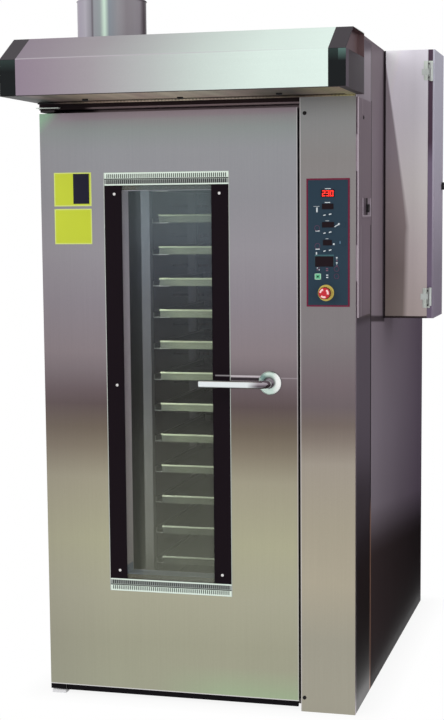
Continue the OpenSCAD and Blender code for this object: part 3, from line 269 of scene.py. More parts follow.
def door_finishes():
    # The door's tone bands along its height are painted reflections, dark across the middle.
    door_reflection_bands = {0: "a3a48f", 0.21: "a3a28d", 0.38: "aba994", 0.57: "aeac91", 0.79: "a39d89",
        0.90: "847a6b", 0.965: "71665a", 1.05: "615454", 1.10: "6c5f62", 1.17: "7f7478",
        1.23: "8b8084", 1.40: "8f888f", 1.58: "98949a", 1.75: "949398", 1.92: "98999d",
        1.99: "949a99", 2.025: "969496", 2.06: "887e82"}

    def door_painted_light(board, coat, x, y, z):
        # Painted shade toward the hinged side, painted green reflections in two corners, a painted
        # mauve reflection along the top, a painted reflection of the lever, and painted highlights
        # along the lower and right edges.
        coat.lay((0.20 - (x + 0.552) * 0.8).held(), "6e6568")
        corner = ((z - 1.975 - (x + 0.552) * 0.9) * 22.0).held() * x.fall(-0.47, 30)
        coat.lay(corner * 0.65, "8eba98")
        head = ((z - 2.018 - (x + 0.5) * 0.012) * 90.0).held() * x.rise(-0.49, 40)
        coat.lay(head * 0.6, "988892")
        foot = x.rise(-0.16, 4) * z.fall(0.14, 9)
        coat.lay(foot * 0.5, "a0c096")
        across = x.between(0.112, 0.235)
        coat.lay((z.peak(1.1455, 0.006) * 2.0).held() * across * 0.85, "3c323a")
        coat.lay((z.peak(1.1545, 0.0045) * 2.0).held() * across * 0.9, "e8dee4")
        coat.lay(z.peak(1.1505, 0.003) * x.over(0.27) * 0.5, "bab0b6")
        coat.lay(z.under(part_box("door_skin")[0].z + 0.003), "d6d4d2")
        coat.lay(x.over(0.3528) * 0.45, "cecccc")

    brushed("door_steel", "z", door_reflection_bands, 0.0, 2.1, tint=door_painted_light)

    def column_painted_light_and_seam(board, coat, x, y, z):
        # Painted shade on the return beside the door, painted highlights along the front corners,
        # and on the flank a painted dark reflection of the floor low down and a painted shadow line
        # under the cover; the flank's rear seam is browner low down.
        flank = board.colours(z, {0: "120a0a", 0.10: "221919", 0.30: "3a2f2f", 0.47: "4a3e3f",
            0.56: "584e54", 0.66: "766c76", 1.1: "807780", 1.32: "827880", 1.345: "3c3238",
            1.37: "82767e", 2.1: "84777f"}, 0.0, 2.2)
        back = y - FRONT
        seam = board.mixed(z.fall(0.70, 14), "221a1e", "96705c")
        flank = board.mixed(y.over(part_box("column_shell")[1].y - 0.010), flank, seam)
        flank = board.mixed(back.under(0.0205), flank, "b0a4ac")
        coat.lay(x.over(0.5515) * back.over(0.001), flank)
        coat.lay(x.over(0.5525) * back.under(0.0005), "cec6c6")
        coat.lay(x.under(0.3672) * y.under(FRONT + 0.0005) * 0.6, "ccc8c8")
        coat.lay(x.under(0.3668) * y.over(FRONT + 0.0022), "161214")

    # The column's tone bands along its height are painted reflections, dark across the middle like
    # the door's.
    column_reflection_bands = {0: "a4a091", 0.25: "a29e8f", 0.45: "afa794", 0.65: "a9a18f", 0.86: "a39a8e",
        0.94: "887d74", 0.995: "776b65", 1.06: "706568", 1.13: "776b6f", 1.30: "837d7f",
        1.7: "8a8585", 1.88: "8b8786", 2.0: "8f8f8f"}
    brushed("column_steel", "z", column_reflection_bands, 0.0, 2.1, tint=column_painted_light_and_seam)

    cover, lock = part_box("side_cover"), middle("cover_lock")

    def cover_marks(board, coat, x, y, z):
        # A painted highlight along the front corner, a fine line from the canopy, and an edged
        # plate with a dark slot.
        back = y - FRONT
        along, rise = abs(y - lock.y), abs(z - lock.z)
        coat.lay(back.under(0.0225), "b2a6ae")
        coat.lay(back.peak(0.098, 0.010) * z.under(1.66) * 0.6, "a89ca4")
        coat.lay(back.peak(0.114, 0.010) * z.under(1.66) * 0.45, "4c4048")
        coat.lay(y.over(cover[1].y - 0.012) * z.under(1.66), "241c20")
        plate = along.under(0.085) * rise.under(0.0335) * x.over(cover[0].x + 0.0040)
        frame_line = (along.over(0.066) + rise.over(0.0300)).held()
        shade = board.mixed((y - lock.y).over(0.016), "685c66", "968a94")
        shade = board.mixed(frame_line, shade, "beb2bc")
        shade = board.mixed(along.under(0.017) * rise.under(0.0285), shade, "1a1418")
        coat.lay(plate, shade)
        coat.lay(back.peak(0.110, 0.007) * z.over(2.03) * 0.7, "b2a6ac")

    brushed("cover_steel", "z", {1.30: "847880", 1.55: "8c7e89", 1.9: "887b83", 2.2: "84777f"}, 1.3,
        2.2, metallic=0.5, roughness=0.45, edge=SHADE, tint=cover_marks)

    def header_painted_shade(board, coat, x, y, z):
        # Painted shadow of the canopy along the rail's top, and painted shade at its left end.
        coat.lay(z.over(2.0680), "22181a")
        coat.lay(x.fall(-0.355, 30), "1c1416")

    brushed("header_steel", "x", {-0.6: "706264", 0: "7a6a6e", 0.6: "7a6c70"}, -0.6, 0.6,
        (3, 90, 90), tint=header_painted_shade)


def side_finishes():
    def toward_back(board, coat, x, y, z):
        # Painted shade darker toward the back and a near-black painted reflection of the floor at
        # the foot; the right flank alone has a seam, a painted shadow line along the lower edges of
        # the cover and cabinet, and painted shade where it meets the cabinet.
        back = y - FRONT
        depth = (back * (1 / 1.6)).held()
        coat.lay((depth * 1.15 - 0.1).held() * 0.75, "4c3c52")
        foot = board.colours(z + back * 0.12, {0.52: 1, 0.57: 0.85, 0.70: 0, 2.2: 0}, 0.0, 2.2)
        low = board.mixed(depth, "403435", "181112")
        low = board.dimmed(low, (z * 4.0 + 0.30).held())
        coat.lay(foot, low)
        flank = x.over(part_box("right_panel")[1].x - 0.0015) * z.under(ROOF - 0.0025)
        under = (z + back * 0.066).peak(1.354, 0.014)
        coat.lay((under * 2.0).held() * back.under(0.60) * flank * 0.85, "281e22")
        seam = board.mixed(z.fall(0.70, 14), "221a1e", "96705c")
        coat.lay(back.under(0.3105) * z.under(2.085) * flank, seam)
        coat.lay(back.peak(0.562, 0.016) * z.over(1.32) * flank * 0.8, "2c2228")

    brushed("side_steel", "z", {0: "7c737b", 0.9: "968c96", 1.3: "948992", 1.7: "92858e",
        1.95: "8c7f88", 2.15: "82767c", 2.3: "80747a"}, 0.0, 2.3, metallic=0.35, roughness=0.5,
        edge=SHADE, tint=toward_back)

    shell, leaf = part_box("ebox_shell"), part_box("ebox_door")[0].x

    def cabinet_light(board, coat, x, y, z):
        # The front face carries a painted reflection of the oven's flank, wider towards its foot,
        # and is painted brighter toward its left; a painted shadow runs along its lower edge and
        # painted shade along its left edge.
        wedge = 0.5585 + (2.23 - z) * 0.15 - (1.65 - z).at_least(0.0) * 0.17
        flank_reflection = ((wedge + 0.003 - x) * ((z - 1.62).at_least(0.0) * 260.0 + 50.0)).held()
        front = y.under(FRONT + 0.5755)
        coat.dim(1.0 + x.fall(0.66, 8) * 0.50)
        dim = board.colours(z, {1.3: "847872", 1.5: "807270", 1.75: "968789", 1.92: "9c9098",
            2.3: "9e929a"}, 1.3, 2.3)
        coat.lay(flank_reflection * front * 0.95, dim)
        rim = board.colours(z, {1.3: "7e7482", 1.8: "6e6270", 1.95: "3c2e3a", 2.3: "3a2c38"}, 1.3,
            2.3)
        coat.lay(x.over(shell[1].x - 0.0028) * front, rim)
        coat.lay(z.under(shell[0].z + 0.0075) * front, "2c2022")
        coat.lay(x.under(0.5592) * front, "22181e")
        coat.lay(y.under(FRONT + 0.5732), "c8ceca")

    brushed("cabinet_steel", "z", {1.30: "b6a8a4", 1.55: "c6baba", 1.80: "d6d0cf", 2.05: "dcd7de",
        2.3: "ece8f2"}, 1.3, 2.3, (120, 120, 3), streak=0.05, metallic=0.6, tint=cabinet_light)

    def door_edge(board, coat, x, y, z):
        # The door's front edge is a darker strip in its upper third.
        strip = y.under(FRONT + 0.5778) * x.under(leaf + 0.0165)
        rim = board.mixed(z.rise(1.88, 14), "807288", "564454")
        coat.lay(strip, rim)
        coat.lay(y.under(FRONT + 0.5762), "c8ceca")

    brushed("cabinet_door_steel", "z", {1.30: "928798", 1.50: "98909f", 1.75: "b8b0c0",
        1.95: "c4c0cf", 2.3: "cccbd9"}, 1.3, 2.3, (120, 120, 3), streak=0.05, metallic=0.35,
        roughness=0.5, edge=SHADE, tint=door_edge)


def canopy_finishes():
    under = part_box("hood_underside")
    upright, climb, depth = 0.117, 0.078, 0.131  # The canopy's front face, and its slope
    crease = under[0].z + upright

    def fold(board, coat, x, y, z):
        # A painted highlight along the crease, the sloped face painted darker, and dark painted
        # shade on the sheet seen from inside or from the ends.
        out = y - under[0].y
        crease_highlight = z.peak(crease + 0.0012, 0.0024) * (0.9 - (x + 0.1) * 1.4).held()
        coat.lay(crease_highlight, "cec6ce")
        slope = z.over(crease)
        coat.dim(1.0 - slope * (0.11 - x * 0.115))
        rear = out * (climb / depth) - (z - crease)
        inside = out.over(0.0008) * rear.over(0.0009) * z.under(ROOF - 0.0015)
        coat.lay(inside, "423638")
        gable = abs(x - middle("hood_underside").x).over((under[1].x - under[0].x) / 2 - 0.024)
        gable = gable * out.over(0.0025) * z.under(ROOF - 0.0015)
        shade = board.mixed(z.over(crease + 0.001), "281b1c", "846e70")
        shade = board.mixed(out.under(0.051) * z.under(crease), shade, "625460")
        coat.lay(gable, shade)

    # The canopy's tone along its length is painted reflection, from a darker left end to a bright
    # mint right end.
    brushed("canopy_steel", "x", {-0.56: "918191", -0.42: "9b8e9a", -0.25: "a8a1a7",
        -0.05: "bcc0bf", 0.12: "d0dcd6", 0.32: "e1f1e9", 0.58: "e8f9f1"}, -0.6, 0.6, (3, 90, 90),
        roughness=0.38, streak=0.035, tint=fold)

    def hatch(board, coat, x, y, z):
        comb = ((x * 520.0).sine() * 0.5 + 0.5) * ((x * 93.0).sine() * 0.3 + 0.7)
        coat.lay(comb * 0.55, "5c5442")
        patch = board.noise((9, 3, 3), 2.0, 0.5)
        coat.lay((patch - 0.45).held() * 2.2, "b08c8a")
        coat.lay((y - under[0].y).under(0.006), "2c2426")
        coat.lay(x.over(0.556), "3e3437")
        coat.lay(x.fall(-0.435, 16), "181414")

    brushed("underside_steel", "x", {-0.56: "28221e", -0.42: "544a40", -0.33: "aa9682",
        -0.2: "d8c4b0", 0: "e2d4be", 0.12: "ccc2ae", 0.20: "b0a696", 0.26: "787060", 0.38: "42382e",
        0.47: "968c68", 0.55: "b0a678"}, -0.6, 0.6, (60, 6, 6), roughness=0.5, metallic=0.4,
        streak=0.2, tint=hatch)

    def facets(board, coat, x, y, z):
        # A painted highlight along the top of the lower facets, stronger on the right cap, and
        # painted shade in a tone of its own on the sloped top facet.
        painted_gleam = z.rise(2.165, 26) * (x.over(0.555) * 0.45 + 0.10)
        coat.lay(painted_gleam, "789c94")
        coat.lay(z.over(crease - 0.001), "1e111e")

    plain("cap_enamel", "0e1214", 0.35, 0.0, 0.18, (5, 5, 9), 0.02, shine=0.15, tint=facets)


def flue_finish():
    centre = middle("flue_pipe")
    board = Board("flue_steel")
    x, y, z = board.axes()
    around = board.add("ShaderNodeMath", {"operation": "ARCTAN2"},
        {0: y - centre.y, 1: x - centre.x})
    turn = around * (1 / (2 * math.pi)) + 0.5
    # Painted reflections: the tone changes round the pipe in vertical bands, with a painted
    # highlight at the foot of the collar.
    painted_reflections = board.colours(turn, {0.00: "787078", 0.11: "9c94a4", 0.165: "b2aeb8", 0.200: "929098",
        0.208: "645e66", 0.216: "96989e", 0.248: "969ea0", 0.268: "d4ecda", 0.288: "8a929a",
        0.330: "969499", 0.37: "8a848a", 0.41: "8f8a90", 0.452: "928c93", 0.482: "544850",
        0.52: "2c242c", 0.57: "5c545c", 0.75: "928e94", 0.90: "a8a6ac", 1: "787078"})
    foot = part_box("flue_collar")[0].z + 0.006
    foot_highlight = turn.peak(0.336, 0.035) * (1.0 - abs(z - foot) * 90.0).held()
    painted_reflections = board.mixed((foot_highlight * 4.0).held(), painted_reflections, "e2f0e8")
    fine = board.noise((90, 90, 4), 3.0, 0.6)
    board.set(base_color=board.dimmed(painted_reflections, 0.93 + fine * 0.14), metallic=0.7,
        roughness=0.3 + fine * 0.08, normal=board.bump(fine, 0.03))
    FINISH["flue_steel"] = board.material


def window_finishes():
    board = Board("oven_glass")
    x, y, z = board.axes()
    veil = board.colours(z, {0.40: 0.42, 0.47: 0.30, 0.70: 0.22, 0.92: 0.16, 1: 0.07, 1.35: 0.07,
        1.58: 0.14, 1.62: 0.22, 1.82: 0.26}, 0.4, 1.85)
    right = x.rise(-0.215, 30) * 0.6 + 0.4
    smear = board.noise((6, 6, 2), 3.0, 0.6)
    streak = board.noise((60, 60, 1), 2.0, 0.5)
    tint = board.colours(z, {0.4: "969c90", 0.47: "808474", 1.1: "5c5c54", 1.5: "707a88",
        1.85: "7a8a8c"}, 0.4, 1.85)
    board.set(base_color=board.dimmed(tint, 0.85 + smear * 0.2 + streak * 0.15),
        roughness=0.06 + smear * 0.04, alpha=veil * right * (0.8 + smear * 0.4),
        specular_ior_level=0.3)
    FINISH["oven_glass"] = board.material
    clear = Board("inner_glass")
    film = clear.noise((5, 5, 2), 2.0, 0.5)
    clear.set(base_color=clear.dimmed("969896", 0.8 + film * 0.3), roughness=0.08,
        alpha=0.03 + film * 0.04, specular_ior_level=0.2)
    FINISH["inner_glass"] = clear.material

    def lever_reflection_line(board, coat, x, y, z):
        # A painted reflection of the lever crosses the strip.
        coat.lay(z.peak(1.156, 0.0035) * x.between(0.068, 0.12) * 0.8, "b0aaae")

    plain("strip_enamel", "170f15", 0.35, 0.0, 0.10, (60, 60, 6), 0.02, shine=0.05, tint=lever_reflection_line)
    low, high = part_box("window_vents")

    def grooves(board, coat, x, y, z):
        # Painted shade: a dark line in the groove between the two rows of slots, and dark walls
        # inside the slots. The rows beside the pane are dimmer.
        inner = abs(z - (high.z - 0.0317)).under(0.0072) + abs(z - (low.z + 0.0317)).under(0.0072)
        coat.lay(inner, "969c98")
        groove = z.peak(high.z - 0.022, 0.0022) + z.peak(low.z + 0.022, 0.0022)
        coat.lay((groove * 3.0).held(), "141a18")
        coat.lay(y.over(FRONT + 0.0012), "282828")

    def behind_slots(board, coat, x, y, z):
        # Painted shade behind the slots: the outer row of slots lets less darkness through than the
        # row beside the pane.
        outer = (z.over(high.z - 0.022) + z.under(low.z + 0.022)).held()
        coat.lay(outer, "545a58")

    plain("slot_dark", "0c0a0c", 0.6, 0.0, 0.1, (60, 60, 6), 0.02, shine=0.05, tint=behind_slots)
    plain("vent_bright", "e8f6ea", 0.4, 0.2, 0.04, 80, 0.02, tint=grooves)
    plain("edge_highlight_pale", "bcc2bc", 0.35, 0.3, 0.05, (60, 60, 10), 0.02)


def inside_finishes():
    def left_wall(board, coat, x, y, z):
        # The wall beside the rack stays in its own shade.
        coat.lay((x * -6.0 - 1.7).held() * 0.85, "322630")

    brushed("chamber_steel", "z", {0: "686860", 0.8: "545850", 1: "464844", 1.4: "484c4c",
        1.7: "687278", 2.0: "747c82"}, 0.0, 2.0, (90, 90, 3), roughness=0.5, metallic=0.6,
        tint=left_wall)
    liner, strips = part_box("door_liner"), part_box("window_strips")

    def sill(board, coat, x, y, z):
        # Only the sill of the window opening is bluish; the door's inner face isn't.
        place = x.between(strips[0].x, strips[1].x) * z.between(0.40, 0.48)
        coat.lay(place * y.under(liner[1].y - 0.004), "828c98")

    brushed("reveal_steel", "z", {0: "beb8b2", 0.8: "b8b0b2", 1.1: "aaa0a8", 1.6: "beb6c0",
        2.0: "beb8be"}, 0.0, 2.1, (120, 120, 3), roughness=0.42, metallic=0.3, tint=sill)
    brushed("rack_steel", "z", {0: "76766e", 0.8: "6e706c", 1.1: "56585a", 1.4: "5c5e62",
        1.7: "727a80", 2.0: "70787c"}, 0.0, 2.0, (90, 90, 3), roughness=0.45, metallic=0.6)
    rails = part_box("rack_rails")

    def tip_highlight(board, coat, x, y, z):
        # The front ends of the rails carry a painted highlight.
        coat.lay(y.under(rails[0].y + 0.004), "e2eae2")

    brushed("rail_steel", "z", {0: "787c70", 2.0: "787e7c"}, 0.0, 2.0, (90, 90, 3), roughness=0.45,
        metallic=0.5, tint=tip_highlight)

    def bracket_shade(board, coat, x, y, z):
        # The lower bracket is bright zinc, the upper one stands in the canopy's shade.
        coat.lay(z.over(1.0), "221c1e")

    plain("bracket_zinc", "ececee", 0.5, 0.1, 0.05, 45, 0.04, tint=bracket_shade)
    board = Board("tray_surface")
    x, y, z = board.axes()
    bake = board.noise((14, 14, 60), 4.0, 0.65)
    tray_low, tray_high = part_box("trays")
    # Painted light and shade: the faces change tone with height and darken toward the left wall,
    # and the tops behind the front faces are painted dark.
    face = board.colours(z, {0.2: "545c52", 0.75: "687260", 0.95: "8a967c", 1.8: "8c9a84"}, 0.2,
        1.9)
    face = board.mixed(bake * 0.55, face, "5c644e")
    fade = ((tray_low.x + 0.075 - x) * 16.0).held()
    face = board.mixed(fade * 0.6, face, "404644")
    dark = board.colours(z, {0.2: "606254", 0.9: "3e4036", 1.3: "2c302e", 1.8: "485056"}, 0.2, 1.9)
    base = board.mixed(y.over(tray_low.y + 0.002), face, dark)
    board.set(base_color=base, metallic=0.35, roughness=0.48 + bake * 0.12,
        normal=board.bump(bake, 0.1))
    FINISH["tray_surface"] = board.material

    def near_rim(board, coat, x, y, z):
        # Only the bead nearest the door is bright, a painted highlight; the others are painted dark
        # as shade.
        bright = board.colours(z, {0.2: "e2f0d8", 0.9: "cedcb8", 1.8: "9eae8c"}, 0.2, 1.9)
        dark = board.colours(z, {0.2: "64665a", 0.9: "42443a", 1.3: "323634", 1.8: "4c545a"}, 0.2,
            1.9)
        coat.colour = board.mixed(y.over(tray_low.y + 0.004), bright, dark)

    plain("tray_rim", "a0b092", 0.4, 0.2, 0.3, (14, 14, 30), 0.04, tint=near_rim)
    plain("zinc", "9ea0a0", 0.42, 0.8, 0.12, 45, 0.08)
    plain("pan_steel", "605c5a", 0.5, 0.7, 0.12, 20, 0.06)
    plain("mineral_wool", "5c5648", 0.95, 0.0, 0.35, (160, 160, 40), 0.6)
    plain("heater_steel", "544c48", 0.5, 0.8, 0.3, (25, 25, 12), 0.08)
    plain("motor_enamel", "56707c", 0.4, 0.1, 0.08, 60, 0.05, coat=0.1)
    plain("lamp_glass", "ece6cd", 0.2, 0.0, 0.05, 50, 0.05, coat=0.5)
    plain("seal_silicone", "b0462c", 0.6, 0.0, 0.10, 80, 0.12)
    plain("rubber", "0c090d", 0.7, 0.0, 0.15, 70, 0.15, shine=0.1)
    plain("castor_tread", "2e2d2d", 0.6, 0.0, 0.15, 50, 0.12)
    plain("equipment", "babab4", 0.5, 0.0, 0.06, 90, 0.05)


def fitting_finishes():
    hub, plate = middle("handle_rosette"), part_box("handle_rosette")[0].y

    def mirrored(board, coat, x, y, z):
        # Painted reflections: the bright plating is painted pinkish and then dark where the arm
        # meets its neck, and the arm's underside is painted grey as shade.
        right, up = x - hub.x, z - hub.z
        neck = right.rise(-0.060, 26)
        coat.lay(neck * 0.75, "84707c")
        coat.lay(neck * up.fall(0.004, 140) * 0.8, "3e323a")
        under = (hub.z - 0.006 - z) * 180.0
        arm = y.under(plate - 0.010)
        coat.lay(arm * under.held() * 0.55, "969ca0")

    def rosette_reflections(board, coat, x, y, z):
        # Painted reflections: a dark patch beside the neck, a teal swirl up and left of it, white
        # at the right, and a dark edge round the right side.
        right, up = x - hub.x, z - hub.z
        far = (right * right + up * up) ** 0.5
        neck = ((right + 0.002) * (right + 0.002) + (up - 0.004) * (up - 0.004)) ** 0.5
        teal = ((right + 0.022) * (right + 0.022) + (up - 0.018) * (up - 0.018)) ** 0.5
        coat.lay(right.rise(0.010, 60), "f6f8f6")
        coat.lay((teal.peak(0.0, 0.018) * 1.5).held() * 0.8, "547c78")
        coat.lay((neck.peak(0.0, 0.026) * 2.0).held() * 0.95, "282028")
        coat.lay(far.over(0.0385) * right.rise(-0.01, 60) * 0.8, "463e46")

    plain("rosette_plate", "cde1d7", 0.25, 0.6, 0.04, 20, 0.0, tint=rosette_reflections)
    plain("chrome", "e2e8ea", 0.09, 1.0, 0.02, 20, 0.0, tint=mirrored)
    plain("lock_black", "262426", 0.4, 0.1, 0.10, 60, 0.06, shine=0.2)
    plain("screw_bright", "e0dedc", 0.25, 0.9, 0.04, 60, 0.02)
    plain("screw_dark", "1e1a1c", 0.4, 0.3, 0.10, 60, 0.04, shine=0.2)
    plain("hinge_pale", "d4dcd4", 0.4, 0.2, 0.05, 60, 0.03)
    button, face = middle("stop_head"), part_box("stop_head")[0].y

    def head_arcs(board, coat, x, y, z):
        # Three pale arcs on the head, and painted shade on its rim.
        right, up = x - button.x, z - button.z
        far = (right * right + up * up) ** 0.5
        turn = board.add("ShaderNodeMath", {"operation": "ARCTAN2"}, {0: up, 1: right})
        arcs = far.peak(0.0128, 0.0036) * (turn * 3.0 + 0.6).sine().over(-0.25)
        rim = far.over(0.0188)
        coat.lay(rim, "5c0e1a")
        coat.lay((arcs * 3.0).held() * y.under(face + 0.006), "ffd6d6")

    plain("stop_red", "c41e2c", 0.35, 0.0, 0.05, 60, 0.02, shine=0.4, tint=head_arcs)
    plain("stop_yellow", "ceba5c", 0.45, 0.0, 0.05, 60, 0.02, shine=0.3)
    plain("plastic_black", "242426", 0.5, 0.0, 0.10, 80, 0.06)
    plain("panel_film", "2a3c4a", 0.42, 0.0, 0.14, 420, 0.03, shine=0.12)
    plain("bezel_film", "701c38", 0.45, 0.0, 0.06, 120, 0.03, shine=0.15)
    plain("display_smoke", "1c1016", 0.3, 0.0, 0.05, 120, 0.0, shine=0.1)
    plain("text_window", "3e6268", 0.4, 0.0, 0.25, (600, 600, 90), 0.02, shine=0.2)
    for name, colour, shine in (("print_white", "ced6da", 0.3), ("print_red", "7e5468", 0.2),
            ("print_mint", "b0e2c4", 0.3), ("print_blue", "7e9eb8", 0.2),
            ("print_dark", "624058", 0.2)):
        plain(name, colour, 0.5, 0.0, 0.05, 90, 0.0, shine=shine)
    plain("vinyl_navy", "1c1a2c", 0.5, 0.0, 0.06, 60, 0.01, shine=0.15)
    plain("key_green", "5cb084", 0.5, 0.0, 0.05, 90, 0.02, shine=0.2)
    plain("vinyl_lime", "c4d02e", 0.5, 0.0, 0.06, 14, 0.01)
    plain("vinyl_border", "d6e278", 0.5, 0.0, 0.05, 14, 0.01)
    glow = plain("digit_glow", "ff3428", 0.4, 0.0, 0.03, 90, 0.0)
    glow.set(emission_color="ff3224", emission_strength=0.9)


DRESSED = {"pan_steel": "base_frame", "side_steel": "left_panel right_panel rear_panel roof_panel",
    "header_steel": "front_frame", "mineral_wool": "insulation door_core",
    "chamber_steel": "liner_sides liner_ends air_wall", "column_steel": "column_shell",
    "bezel_film": "control_bezel", "panel_film": "control_plate control_keys",
    "display_smoke": "control_displays", "stop_yellow": "stop_collar",
    "canopy_steel": "hood_canopy", "cap_enamel": "hood_end_caps",
    "underside_steel": "hood_underside", "flue_steel": "flue_collar flue_pipe",
    "cabinet_steel": "ebox_shell", "equipment": "ebox_equipment",
    "bracket_zinc": "pivot_brackets door_pivots",
    "zinc": "latch_keeper latch_tongue castor_fork_left castor_fork_right",
    "motor_enamel": "rack_gearmotor fan_motor", "heater_steel": "heating_elements",
    "lamp_glass": "chamber_lamp", "seal_silicone": "door_gasket", "door_steel": "door_skin",
    "reveal_steel": "door_liner", "rubber": "door_sweep", "oven_glass": "window_glass_outer",
    "inner_glass": "window_glass_inner", "strip_enamel": "window_strips",
    "vent_bright": "window_vents", "rosette_plate": "handle_rosette", "chrome": "lever_handle",
    "rack_steel": "rack_carrier rack_frame fan_wheel", "rail_steel": "rack_rails",
    "tray_surface": "trays",
    "castor_tread": "wheel_front_left wheel_front_right wheel_rear_left wheel_rear_right",
    "plastic_black": "stop_plunger", "stop_red": "stop_head", "cabinet_door_steel": "ebox_door",
    "lock_black": "ebox_lock cover_lock", "cover_steel": "side_cover"}
NODE_FINISH = {node: finish for finish, nodes in DRESSED.items() for node in nodes.split()}


# ---- shaping


def at_rest_mode():
    if bpy.context.mode != "OBJECT":
        bpy.ops.object.mode_set(mode="OBJECT")
    bpy.ops.object.select_all(action="DESELECT")


def pick(piece):
    at_rest_mode()
    piece.select_set(True)
    bpy.context.view_layer.objects.active = piece


def freeze(piece):
    """Puts the piece's place into its mesh."""
    pick(piece)
    bpy.ops.object.transform_apply(location=True, rotation=True, scale=True)


def soften(piece, width, segments=2, angle=40):
    """Rounds every sharp edge of a piece."""
    pick(piece)
    edge = piece.modifiers.new("rounded", "BEVEL")
    edge.width = width
    edge.segments = segments
    edge.limit_method = "ANGLE"
    edge.angle_limit = math.radians(angle)
    bpy.ops.object.modifier_apply(modifier=edge.name)


def block(low, high, rounded=0.0005):
    """A plate or bar between two corners, with rounded edges."""
    low, high = Vector(low), Vector(high)
    at_rest_mode()
    bpy.ops.mesh.primitive_cube_add(size=1, location=(low + high) / 2)
    piece = bpy.context.object
    piece.scale = high - low
    freeze(piece)
    if rounded:
        soften(piece, rounded)
    return piece


def select_facing(piece, direction):
    """Selects the faces that look along a direction, for the next edit."""
    pick(piece)
    for polygon in piece.data.polygons:
        polygon.select = polygon.normal.dot(direction) > 0.99
    for edge in piece.data.edges:
        edge.select = False
    for vertex in piece.data.vertices:
        vertex.select = False
    bpy.ops.object.mode_set(mode="EDIT")
    bpy.ops.mesh.select_mode(type="FACE")


def drum(centre, direction, radius, depth, sides=24):
    """A round body that stands out from a surface at a point."""
    at_rest_mode()
    turn = Vector((0, 0, 1)).rotation_difference(Vector(direction))
    bpy.ops.mesh.primitive_cylinder_add(vertices=sides, radius=radius, depth=depth,
        location=Vector(centre) + Vector(direction) * depth / 2, rotation=turn.to_euler())
    piece = bpy.context.object
    freeze(piece)
    return piece


def screw(centre, direction, radius, depth=0.002, sides=20):
    """A low screw head with a rounded rim and a socket."""
    piece = drum(centre, direction, radius, depth, sides)
    select_facing(piece, Vector(direction))
    bpy.ops.mesh.inset(thickness=radius * 0.3, depth=depth * 0.25)
    bpy.ops.mesh.inset(thickness=radius * 0.22, depth=0)
    bpy.ops.mesh.extrude_region_move(TRANSFORM_OT_translate={"value": Vector(direction) *
        (-depth * 0.6)})
    bpy.ops.object.mode_set(mode="OBJECT")
    tidy(piece)
    return piece


def tidy(piece):
    """Merges doubles and turns every face outwards."""
    pick(piece)
    bpy.ops.object.mode_set(mode="EDIT")
    bpy.ops.mesh.select_all(action="SELECT")
    bpy.ops.mesh.remove_doubles(threshold=0.000002)
    bpy.ops.mesh.normals_make_consistent(inside=False)
    bpy.ops.object.mode_set(mode="OBJECT")


def together(parts):
    """Joins several shapes in one piece."""
    at_rest_mode()
    for part in parts:
        part.select_set(True)
    bpy.context.view_layer.objects.active = parts[0]
    if len(parts) > 1:
        bpy.ops.object.join()
    return bpy.context.view_layer.objects.active


def fit(parts, name, body, finish):
    """Joins parts in one named piece, gives it its finish and lets it ride with its body."""
    piece = together(parts)
    freeze(piece)
    piece.name = name
    piece.data.name = name
    bpy.ops.object.shade_smooth_by_angle(angle=math.radians(30))
    piece.data.materials.clear()
    piece.data.materials.append(FINISH[finish])
    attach(piece, body)


# ---- settings


def length(name, description, default, low, high):
    return bpy.props.FloatProperty(name=name, description=description, default=default, min=low,
        max=high, unit="LENGTH")


class OvenSizes(bpy.types.PropertyGroup):
    """Sizes of the small parts."""

    strip_screw: length("Strip screws", "Radius of the screws in the window's dark strips", 0.0048,
        0.003, 0.01)
    sheet_screw: length("Sheet screws", "Radius of the dark screws in the sheet metal", 0.0065,
        0.003, 0.01)
    trim: length("Window trim", "Width of the bright edge along the window", 0.0025, 0.002, 0.008)
    rim: length("Tray rim", "Thickness of the rolled rim of a tray", 0.005, 0.003, 0.008)
    print_height: length("Print", "Thickness of a printed mark on the panel", 0.0003, 0.0001, 0.001)


class OvenStudio(bpy.types.PropertyGroup):
    """Lights and ground."""

    key: bpy.props.FloatProperty(name="Key light", description="Power of the large front light",
        default=70.0, min=0, unit="POWER")
    fill: bpy.props.FloatProperty(name="Fill",
        description="Strength of the even light from all round", default=0.62, min=0)
    ground: bpy.props.FloatVectorProperty(name="Ground", description="Colour of the floor",
        subtype="COLOR", size=4, default=(0.93, 0.93, 0.93, 1), min=0, max=1)


# ---- operators


class OVEN_OT_finishes(bpy.types.Operator):
    """Makes every finish and puts it on the frame's parts"""

    bl_idname = "oven.finishes"
    bl_label = "Finishes"

    def execute(self, context):
        for make in (door_finishes, side_finishes, canopy_finishes, flue_finish, window_finishes,
                inside_finishes, fitting_finishes):
            make()
        for name, node in NODES.items():
            finish = FINISH[NODE_FINISH[name]]
            if not node.material_slots:
                node.data.materials.append(finish)
            for slot in node.material_slots:
                slot.material = finish
        return {"FINISHED"}


